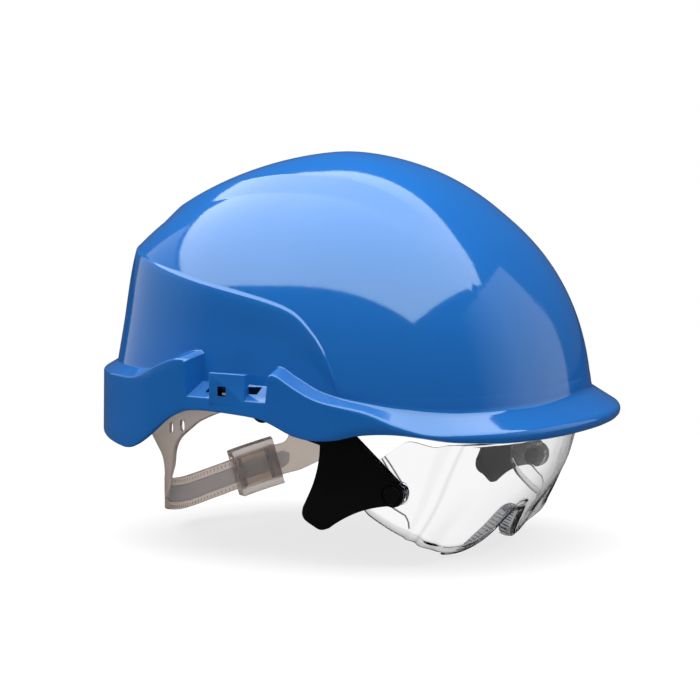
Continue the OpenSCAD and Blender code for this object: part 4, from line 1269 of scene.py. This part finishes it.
class HELMET_OT_nose(bpy.types.Operator):
    """Builds the soft clear nose piece with its ribs"""
    bl_idname = "helmet.nose"
    bl_label = "Nose piece"

    def execute(self, context):
        size = context.scene.helmet_shield
        pitch, half = size.rib_pitch / MM, size.lens_wall / MM / 2
        stations = [s for s in lens_stations() if s[1] <= NOSE_END]
        under = half + 0.15

        def depth(k):
            y = max(NOSE_TAPER[0][0], min(NOSE_END, stations[k][1]))
            return mix(NOSE_DEPTH, under + 0.5, curve(NOSE_TAPER, y))

        def spot(k, off, drop_by):
            lift = NOSE_SLOPE * max(0.0, -off - under)
            x, y, z = lens_point(stations, k, lens_low(stations[k]) - SEAT_GAP - drop_by, off)
            return (x, y, z + lift)

        def section(k):
            back = -depth(k)
            lip = mix(NOSE_LIP, 0.5, (NOSE_DEPTH - depth(k)) / NOSE_DEPTH)
            corner = lip * 0.28
            flat = [mix(-under, back + 0.3, f) for f in (0, 0.3, 0.65, 1)]
            shape = [(half - 0.3, 0), (0, 0)] + [(o, 0) for o in flat]
            shape += [(back + 0.06, 0.08), (back, corner), (back, lip - corner), (back + 0.06, lip - 0.08)]
            shape += [(o, lip) for o in reversed(flat)] + [(0, lip), (half - 0.5, lip)]
            shape += [(half - 0.1, lip - 0.08), (half, lip - corner), (half, corner), (half - 0.1, 0.08)]
            return [spot(k, o, d) for o, d in shape]

        obj = add_mesh("nose_flange", *skin(both_halves([section(k) for k in range(len(stations))])))
        soften(obj, 40)
        clear = clear_plastic("Clear nose plastic", size.nose_colour, rough=0.12, ior=1.46)
        seat(obj, "eye_shield", "nose_clear", clear, "nose_piece")
        ribs = repeated("nose_ribs", self.rib_places(stations, pitch, depth, spot), NOSE_RIB, clear)
        seat(ribs, "eye_shield", "nose_clear", clear)
        return {"FINISHED"}

    def rib_places(self, stations, pitch, depth, spot):
        """Ribs across the upper and lower face of the flange, where it is at its full width."""
        places, gone = [], 0.0
        for k in range(1, len(stations) - 1):
            a, b = (Vector(spot(j, 0, 0)) for j in (k - 1, k))
            gone += (b - a).length
            if gone < pitch or depth(k) < 4.5:
                continue
            gone = 0.0
            inward = (Vector(spot(k, -5, 0)) - Vector(spot(k, -3, 0))).normalized()
            face = (b - a).cross(inward).normalized()
            for drop_by in (0, NOSE_LIP):
                mid = Vector(spot(k, -depth(k) / 2 - 0.8, drop_by))
                for side in (1, -1):
                    flip = Vector((1, side, 1))
                    places.append((tuple(mid * flip), tuple(inward * flip), tuple(face * flip)))
        return places


# Harness shape

def band_point(t, off, z):
    long = BAND_FRONT if abs(t) < 90 else BAND_BACK
    return (HEAD_CENTRE + (long + off) * cosd(t), (BAND_HALF_WIDTH + off) * sind(t), z)


def band_span(t):
    return curve(BAND_LOW, abs(t)), curve(BAND_HIGH, abs(t))


def harness_finish(context):
    size = context.scene.helmet_harness
    return plastic("Translucent harness plastic", size.plastic_colour, rough=0.34, grain=1600.0, bump=0.05,
                   scuffs=0.08, transmission=0.7, tone=0.05, second=size.tongue_colour)


class HELMET_OT_headband(bpy.types.Operator):
    """Builds the headband, the hangers that carry it and the clips in the shell"""
    bl_idname = "helmet.headband"
    bl_label = "Headband"

    def execute(self, context):
        smoke = harness_finish(context)

        def section(t):
            row = strip_section(*band_span(t), 0, -BAND_THICK, 9, 0.5, ((0.15, 0.15), (0.5, 0)))
            return [band_point(t, off, z) for z, off in row]

        hoop = add_mesh("head_hoop", *skin([section(-180 + 2.0 * k) for k in range(180)], joined=True))
        soften(hoop, 40)
        seat(hoop, "helmet", "harness_smoke", smoke, "headband")
        seat_copy("headband_hangers", "hoop_hangers", "helmet", "harness_smoke", smoke, 0.4)
        seat_copy("anchor_clips", "shell_clips", "helmet", "arm_black", arm_finish(context), 0.6)
        return {"FINISHED"}


def along_wall(t):
    return (Vector(in_wall(t + 2, 70, 6)) - Vector(in_wall(t - 2, 70, 6))).normalized()


def clip_face(clip, off):
    return Vector(in_wall(clip[0], clip[1], clip[2] + CLIP_THICK + off))


def strap_path(a, b, top, turn_a, turn_b):
    """Points, widths' directions and outward directions along one crown strap."""
    flat = Vector((a.y - b.y, b.x - a.x, 0)).normalized()
    ends = [w if w.dot(flat) >= 0 else -w for w in (along_wall(turn_a), along_wall(turn_b))]
    points, widths = [], []
    for s in spread(0, 180, STRAP_ROWS):
        e, h = (a if s <= 90 else b), abs(cosd(s))
        points.append(Vector((mix(CROWN_X, e.x, h), mix(0, e.y, h), mix(e.z, top, sind(s)))))
        widths.append(flat.lerp(ends[0 if s < 90 else 1], cosd(s) ** 2).normalized())
    outs = []
    for k, w in enumerate(widths):
        way = points[min(len(points) - 1, k + 1)] - points[max(0, k - 1)]
        out = way.cross(w).normalized()
        if out.dot(points[k] - Vector((CROWN_X, 0, 40))) < 0:
            out = -out
        outs.append(out)
    return points, widths, outs


def strap_mesh(name, path, width):
    """A woven strip with rounded edges, and a UV map in millimetres."""
    points, widths, outs = path
    half, h = width / 2, STRAP_THICK / 2
    shape = [(x, h) for x in spread(-half + 0.5, half - 0.5, 9)]
    shape += [(half - 0.1, h * 0.6), (half, 0), (half - 0.1, -h * 0.6)]
    shape += [(-x, -y) for x, y in shape]
    rows = [[tuple(p + w * x + o * y) for x, y in shape] for p, w, o in zip(points, widths, outs)]
    obj = add_mesh(name, *skin(rows))
    gone = [0.0]
    for a, b in zip(points, points[1:]):
        gone.append(gone[-1] + (b - a).length)
    n = len(shape)
    map_threads(obj, lambda k, _: (shape[k % n][0] + half, gone[k // n]))
    soften(obj, 60)
    return obj


def end_stitches(path, width):
    """Two rows of stitches on both faces of a strap, near each of its ends."""
    points, widths, outs = path
    places = []
    for k in (4, len(points) - 5):
        p, w, o = points[k], widths[k], outs[k]
        way = (points[k + 1] - points[k - 1]).normalized()
        for row in STITCH_ROWS:
            for x in spread(-width / 2 + 2, width / 2 - 2, STITCHES_IN_ROW):
                for face in (1, -1):
                    spot = p + w * x + way * row + o * (face * (STRAP_THICK / 2 + 0.06))
                    places.append((tuple(spot), tuple(w), tuple(o * face)))
    return places


class HELMET_OT_straps(bpy.types.Operator):
    """Builds the three woven crown straps, the patch they cross under and their stitches"""
    bl_idname = "helmet.straps"
    bl_label = "Crown straps"

    def execute(self, context):
        size = context.scene.helmet_harness
        width = size.strap_width / MM
        web = cloth("Woven webbing", size.web_colour, across=1.6, along=1.1)
        thread = plastic("Stitch thread", (0.5, 0.5, 0.5), rough=0.7, grain=3000.0, bump=0.3, scuffs=0.0)
        seat_off = STRAP_THICK / 2 + 1.2
        front = clip_face(CLIPS[0], seat_off + 0.5)
        rear = clip_face(CLIPS[2], seat_off)
        back = clip_face(CLIPS[4], seat_off - 0.4)
        brow = Vector((HEAD_CENTRE + BAND_FRONT + STRAP_THICK / 2 + 1.7, 0, 32))
        flip = Vector((1, -1, 1))
        runs = {
            "right": strap_path(front * flip, rear, STRAP_TOP, -52, 118),
            "left": strap_path(front, rear * flip, STRAP_TOP - STRAP_LAYER, 52, -118),
            "centre": strap_path(brow, back, STRAP_TOP - 2 * STRAP_LAYER, 0, 178),
        }
        places = []
        for side, path in runs.items():
            strap = strap_mesh(f"crown_web_{side}", path, width)
            seat(strap, "helmet", "webbing", web, f"crown_strap_{side}")
            places += end_stitches(path, width)
        level = STRAP_TOP + STRAP_THICK / 2 + SEAT_GAP
        patch = add_mesh("crown_patch_cloth", *lathe(PATCH_PROFILE, (CROWN_X, 0, level), (0, 0, 1), 72))
        map_threads(patch, lambda _, co: (co.x, co.y))
        soften(patch, 50)
        seat(patch, "helmet", "webbing", web, "crown_patch")
        for k in range(PATCH_STITCHES):
            a = 2 * math.pi * k / PATCH_STITCHES
            spot = (CROWN_X + PATCH_SEAM * math.cos(a), PATCH_SEAM * math.sin(a), level + 1.2)
            places.append((spot, (-math.sin(a), math.cos(a), 0), (0, 0, 1)))
        seat(repeated("strap_stitches", places, STITCH, thread), "helmet", "webbing", thread)
        return {"FINISHED"}


class HELMET_OT_sweatband(bpy.types.Operator):
    """Builds the padded sweatband, filled by a short cloth run, and its knitted cover"""
    bl_idname = "helmet.sweatband"
    bl_label = "Sweatband"

    def execute(self, context):
        size = context.scene.helmet_harness
        middle = -BAND_THICK - SEAT_GAP - PAD_HALF

        def spot(t, a):
            low, high = band_span(t)
            half, mid = (high - low) / 2 - 1, (high + low) / 2
            end = 1 - 0.35 * (abs(t) / PAD_TURN) ** 6
            deep = (1 if cosd(a) > 0 else 1.1) * math.copysign(abs(cosd(a)) ** 0.6, cosd(a))
            tall = math.copysign(abs(sind(a)) ** 0.8, sind(a))
            return band_point(t, middle + PAD_HALF * end * deep * PAD_START,
                              mid + half * end * tall * (1 - (1 - PAD_START) * 0.2))

        turns = spread(-PAD_TURN, PAD_TURN, 67)
        obj = add_mesh("sweat_pad", *skin([[spot(t, a) for a in range(0, 360, 15)] for t in turns]))
        swell(obj, size.swell)
        modifier = obj.modifiers.new("Smooth skin", "SUBSURF")
        modifier.levels = modifier.render_levels = 1
        settle(obj)

        def on_cover(_, co):
            turn = math.atan2(co.y / BAND_HALF_WIDTH, (co.x - HEAD_CENTRE) / BAND_FRONT)
            return (turn * 88, co.z)

        map_threads(obj, on_cover)
        obj.data.shade_smooth()
        knit = cloth("Sweatband knit", size.pad_colour, across=0.9, along=1.3, rough=0.95, dots=5.0)
        seat(obj, "helmet", "sweat_fabric", knit, "sweatband")
        return {"FINISHED"}


def swell(obj, steps):
    """Fills the pad with a cloth run; no point moves further than the cap."""
    scene = bpy.context.scene
    remesh = obj.modifiers.new("Even mesh", "REMESH")
    remesh.mode = "VOXEL"
    remesh.voxel_size = SWELL_VOXEL
    settle(obj)
    before = np.array([v.co for v in obj.data.vertices])
    sim = obj.modifiers.new("Swell", "CLOTH")
    sim.settings.use_pressure = True
    sim.settings.uniform_pressure_force = 4.0
    sim.settings.quality = 6
    sim.settings.mass = 0.3
    sim.settings.effector_weights.gravity = 0.0
    sim.point_cache.frame_start = 1
    sim.point_cache.frame_end = steps
    for step in range(1, steps + 1):
        scene.frame_set(step)
    settle(obj)
    scene.frame_set(1)
    move = np.array([v.co for v in obj.data.vertices]) - before
    length = np.linalg.norm(move, axis=1, keepdims=True)
    after = before + move * np.minimum(1.0, SWELL_CAP / np.maximum(length, 1e-9))
    obj.data.vertices.foreach_set("co", after.ravel())
    obj.data.update()


# Nape straps

def nape_point(t, z, off):
    k = curve(LEAN, z)
    return (HEAD_CENTRE + (NAPE_LONG * k + off) * cosd(t), (NAPE_SIDE * k + off) * sind(t), z)


def nape_out(t):
    return Vector((cosd(t) * NAPE_SIDE, sind(t) * NAPE_LONG, 0)).normalized()


def nape_mid(t):
    return curve(NAPE, t)


def left_low(t):
    return mix(curve(LEFT_LOW, min(t, LEFT_YOKE_END)), nape_mid(t) - NAPE_WIDTH / 2, smooth(*LEFT_LOW_TURNS, t))


def left_high(t):
    return mix(curve(LEFT_HIGH, min(t, LEFT_YOKE_END)), nape_mid(t) + NAPE_WIDTH / 2, smooth(*LEFT_HIGH_TURNS, t))


def right_low(t):
    return nape_mid(t) - TONGUE_WIDTH / 2 if t <= RIGHT_YOKE_FROM else curve(RIGHT_LOW, t)


def right_high(t):
    if t <= RIGHT_HIGH_TURNS[0]:
        return nape_mid(t) + TONGUE_WIDTH / 2
    return mix(nape_mid(206) + TONGUE_WIDTH / 2, YOKE_TOP, smooth(*RIGHT_HIGH_TURNS, t))


def cut_hook_slots(obj, places):
    """Cuts the small slots that take a chin strap's hooks."""
    turns = [2 * math.pi * i / 24 for i in range(24)]
    ring = [(HOOK_SLOT_RADIUS * math.cos(a),
             HOOK_SLOT_RADIUS * math.sin(a) + math.copysign(HOOK_SLOT_STRAIGHT, math.sin(a + 1e-6))) for a in turns]
    parts = []
    for turn, z in places:
        mid, out = Vector(nape_point(turn, z, 0)), nape_out(turn)
        side = Vector((-out.y, out.x, 0))
        rows = [[tuple(mid + side * u + Vector((0, 0, v)) + out * d) for u, v in ring] for d in (-6, 6)]
        parts.append(skin(rows))
    boolean(obj, add_mesh("slot_cuts", *gathered(parts)), "DIFFERENCE")


class HELMET_OT_nape(bpy.types.Operator):
    """Builds the two nape straps with their borders, tongue, chin strap slots and size marks"""
    bl_idname = "helmet.nape"
    bl_label = "Nape straps"

    def execute(self, context):
        smoke = harness_finish(context)
        self.left(smoke)
        self.right(smoke)
        marks = plastic("Size mark plastic", (0.3, 0.26, 0.23), rough=0.4, grain=1600.0, bump=0.05, scuffs=0.0)
        places = self.mark_places(context.scene.helmet_harness.tick_pitch / MM)
        seat(repeated("nape_size_marks", places, TICK, marks), "helmet", "harness_smoke", marks)
        return {"FINISHED"}

    def mark_places(self, pitch):
        """Size marks on both borders of the left band, at even spaces along it."""
        places, gone = [], 0.0
        for k in range(1, TICK_STEPS):
            t = TICK_FROM + k * TICK_STEP
            gone += math.dist(nape_point(t, 0, 0), nape_point(t - TICK_STEP, 0, 0))
            if gone < pitch:
                continue
            gone = 0.0
            for z in (left_low(t) + NAPE_BORDER / 2, left_high(t) - NAPE_BORDER / 2):
                places.append((nape_point(t, z, -NAPE_HALF - NAPE_RIDGE), (0, 0, 1), tuple(-nape_out(t))))
        return places

    def left(self, smoke):
        """The left yoke and the wide band with a raised border along each edge."""
        def section(t):
            low, high, b = left_low(t), left_high(t), NAPE_BORDER
            r = NAPE_RIDGE * smooth(*RIDGE_TURNS, t)
            outer, inner = NAPE_HALF, -NAPE_HALF
            face = inner - r
            # From each edge inwards: its rounding, the raised border and the step down to the band
            border = ((0.08, outer - 0.15), (0, outer - 0.4), (0, face + 0.3), (0.1, face + 0.08), (0.35, face),
                      (b - 0.3, face), (b - 0.08, face + 0.1), (b, inner - r * 0.6), (b + 0.05, inner))
            row = [(z, outer) for z in spread(low + 0.3, high - 0.3, 11)]
            row += [(high - d, off) for d, off in border]
            row += [(z, inner) for z in spread(high - b - 0.6, low + b + 0.6, 7)]
            row += [(low + d, off) for d, off in reversed(border)]
            return [nape_point(t, z, off) for z, off in row]

        obj = add_mesh("nape_band_left", *skin([section(t) for t in spread(96, 204, 109)]))
        cut_hook_slots(obj, LEFT_SLOTS)
        soften(obj, 40)
        seat(obj, "helmet", "harness_smoke", smoke, "nape_strap_left")

    def right(self, smoke):
        """The right yoke and its narrow tongue, which lies on the inside of the left band."""
        tongue_in = NAPE_HALF + 0.25 + TONGUE_THICK / 2

        def section(t):
            low, high = right_low(t), right_high(t)
            m = (low + high) / 2
            e = 0.55 + 0.225 * (t - TONGUE_END) if t < 134 else 1
            on_yoke = smooth(*TONGUE_TURNS, t)
            o = -tongue_in * (1 - on_yoke)
            h = mix(TONGUE_THICK / 2, NAPE_HALF, on_yoke)
            row = strip_section(mix(m, low, e), mix(m, high, e), o + h, o - h, 12, 0.3, ((0.12, 0.08), (0.35, 0)))
            return [nape_point(t, z, off) for z, off in row]

        turns = [TONGUE_END, 132.7, 133.4] + spread(134, 202, 57) + spread(202.6, 222, 34) + spread(223, 260, 38)
        obj = add_mesh("nape_tongue_right", *skin([section(t) for t in turns]))
        cut_hook_slots(obj, RIGHT_SLOTS)
        values = []
        for v in obj.data.vertices:
            x, y = v.co.x / MM - HEAD_CENTRE, v.co.y / MM
            turn = math.degrees(math.atan2(y / NAPE_SIDE, x / NAPE_LONG)) % 360
            values.append(1 - smooth(*PALE_TURNS, turn))
        set_tone_and_shade(obj, values)
        soften(obj, 40)
        seat(obj, "helmet", "harness_smoke", smoke, "nape_strap_right")


class HELMET_OT_buckle(bpy.types.Operator):
    """Builds the sliding buckle with its corner posts, whose pale finish paints bright highlights"""
    bl_idname = "helmet.buckle"
    bl_label = "Sliding buckle"

    def execute(self, context):
        colour = context.scene.helmet_harness.buckle_colour
        grey = plastic("Translucent buckle plastic", colour, rough=0.24, grain=1400.0, bump=0.04, scuffs=0.08,
                       transmission=0.7, tone=0.06)
        seat_copy("slide_buckle", "buckle_frame", "buckle", "buckle_grey", grey, 0.5, 3)
        # Partly painted highlight: the posts take a pale, less clear finish so they show as bright bars at the
        # window's corners
        pale = plastic("Pale buckle plastic", (0.75, 0.75, 0.76), rough=0.3, grain=1400.0, bump=0.04, scuffs=0.05,
                       transmission=0.3)
        places = []
        for along in POST_ALONG:
            a = along / BUCKLE_RADIUS
            out = BUCKLE_OUT * math.cos(a) + BUCKLE_AHEAD * math.sin(a)
            for up in POST_UP:
                spot = BUCKLE_CENTRE + out * BUCKLE_RADIUS + BUCKLE_UP * up
                places.append((tuple(spot), tuple(BUCKLE_UP), tuple(-out)))
        seat(repeated("buckle_posts", places, POST, pale), "buckle", "buckle_grey", pale)
        return {"FINISHED"}


class HELMET_OT_stage(bpy.types.Operator):
    """Sets the pale floor, the soft lights, the surroundings and the camera"""
    bl_idname = "helmet.stage"
    bl_label = "Stage"

    def execute(self, context):
        size, scene = context.scene.helmet_stage, context.scene
        low, reach = (CAD_BOX[0][2] - FLOOR_GAP) / MM, FLOOR_HALF / MM
        corners = [(x * reach, y * reach, low) for x, y in ((-1, -1), (1, -1), (1, 1), (-1, 1))]
        floor = add_mesh("floor", corners, [(0, 1, 2, 3)], turn_out=False)
        floor.data.materials.append(self.floor_finish())
        for name, form in LIGHTS.items():
            self.light(name, getattr(size, name), *form)
        self.surroundings(scene)
        turn, rise = size.turn, size.rise
        back = Vector((math.sin(turn) * math.cos(rise), -math.cos(turn) * math.cos(rise), math.sin(rise)))
        right = Vector((math.cos(turn), math.sin(turn), 0))
        up = back.cross(right)
        target = right * CAMERA_RIGHT + up * CAMERA_UP
        data = bpy.data.cameras.new("camera")
        data.lens, data.sensor_width = CAMERA_LENS, CAMERA_SENSOR
        data.clip_start, data.clip_end = 0.05, 50.0
        camera = bpy.data.objects.new("camera", data)
        scene.collection.objects.link(camera)
        facing = Matrix((right, up, back)).transposed().to_4x4()
        camera.matrix_world = Matrix.Translation(target + back * size.distance) @ facing
        scene.camera = camera
        scene.view_settings.view_transform = "Standard"
        return {"FINISHED"}

    def floor_finish(self):
        """White where it is seen, pale where it throws light up, and dim in reflections."""
        mat, w, shader = new_material("Pale floor")
        far = w.ramp(w.vector("LENGTH", w.place())["Value"], FLOOR_NEAR, FLOOR_FAR)
        rays = w.nodes.new("ShaderNodeLightPath").outputs
        pale = w.blend(far, (FLOOR_PALE,) * 3, (0, 0, 0))
        dark = w.blend(rays["Is Glossy Ray"], pale, (FLOOR_SHINE,) * 3)
        dark = w.blend(rays["Is Camera Ray"], dark, w.vector("SCALE", pale, Scale=0.5)["Vector"])
        w.join(w.blend(rays["Is Transmission Ray"], dark, (0, 0, 0)), shader["Base Color"])
        shader["Roughness"].default_value = 0.9
        shader["Specular IOR Level"].default_value = 0.0
        shader["Emission Color"].default_value = (1, 1, 1, 1)
        seen = w.math("MULTIPLY", rays["Is Camera Ray"], w.ramp(far, 0.0, 1.0, FLOOR_GLOW, 1.0))
        w.join(w.math("MAXIMUM", seen, rays["Is Transmission Ray"]), shader["Emission Strength"])
        return mat

    def light(self, name, strength, place, aim, width, depth, fade):
        """A soft box; a faded one grows from dark to full between two shares of its width."""
        data = bpy.data.lights.new(name, "AREA")
        if fade:
            data.use_nodes = True
            w = Wiring(data.node_tree)
            across = w.split(w.nodes.new("ShaderNodeNewGeometry").outputs["Parametric"])["X"]
            w.join(w.ramp(across, *fade), w.nodes["Emission"].inputs["Strength"])
        data.shape = "RECTANGLE"
        data.size, data.size_y = width, depth
        data.energy = strength
        lamp = bpy.data.objects.new(name, data)
        bpy.context.scene.collection.objects.link(lamp)
        lamp.location = place
        lamp.rotation_euler = (Vector(aim) - Vector(place)).to_track_quat("-Z", "Y").to_euler()

    def surroundings(self, scene):
        """White where they are seen, and dimmer in reflections than as light."""
        world = bpy.data.worlds.new("Studio")
        scene.world = world
        world.use_nodes = True
        w = Wiring(world.node_tree)
        shade = w.nodes["Background"].inputs
        shade["Color"].default_value = (1, 1, 1, 1)
        rays = w.nodes.new("ShaderNodeLightPath").outputs
        seen = w.math("MAXIMUM", rays["Is Camera Ray"], rays["Is Transmission Ray"])
        dim = w.ramp(rays["Is Glossy Ray"], 0.0, 1.0, WORLD_LIGHT, WORLD_SHINE)
        w.join(w.math("MAXIMUM", dim, seen), shade["Strength"])


OPERATORS = (HELMET_OT_stage, HELMET_OT_shell, HELMET_OT_hinges, HELMET_OT_arms, HELMET_OT_lens, HELMET_OT_nose,
             HELMET_OT_headband, HELMET_OT_straps, HELMET_OT_sweatband, HELMET_OT_nape, HELMET_OT_buckle)
SETTINGS = (("helmet_shell", ShellSettings), ("helmet_shield", ShieldSettings), ("helmet_harness", HarnessSettings),
            ("helmet_stage", StageSettings))


class HELMET_PT_panel(bpy.types.Panel):
    """Lists the helmet's pieces and their sizes"""
    bl_idname = "HELMET_PT_panel"
    bl_label = "Helmet"
    bl_space_type = "VIEW_3D"
    bl_region_type = "UI"
    bl_category = "Helmet"

    def draw(self, context):
        for name, kind in SETTINGS:
            box = self.layout.box()
            for prop in kind.__annotations__:
                box.prop(getattr(context.scene, name), prop)
        for operator in OPERATORS:
            self.layout.operator(operator.bl_idname)


def register():
    for name, kind in SETTINGS:
        bpy.utils.register_class(kind)
        setattr(bpy.types.Scene, name, PointerProperty(type=kind))
    for kind in (*OPERATORS, HELMET_PT_panel):
        bpy.utils.register_class(kind)


def unregister():
    for kind in reversed((*OPERATORS, HELMET_PT_panel)):
        bpy.utils.unregister_class(kind)
    for name, kind in reversed(SETTINGS):
        delattr(bpy.types.Scene, name)
        bpy.utils.unregister_class(kind)


def main():
    register()
    for operator in OPERATORS:
        group, name = operator.bl_idname.split(".")
        getattr(getattr(bpy.ops, group), name)()


if __name__ == "__main__":
    main()
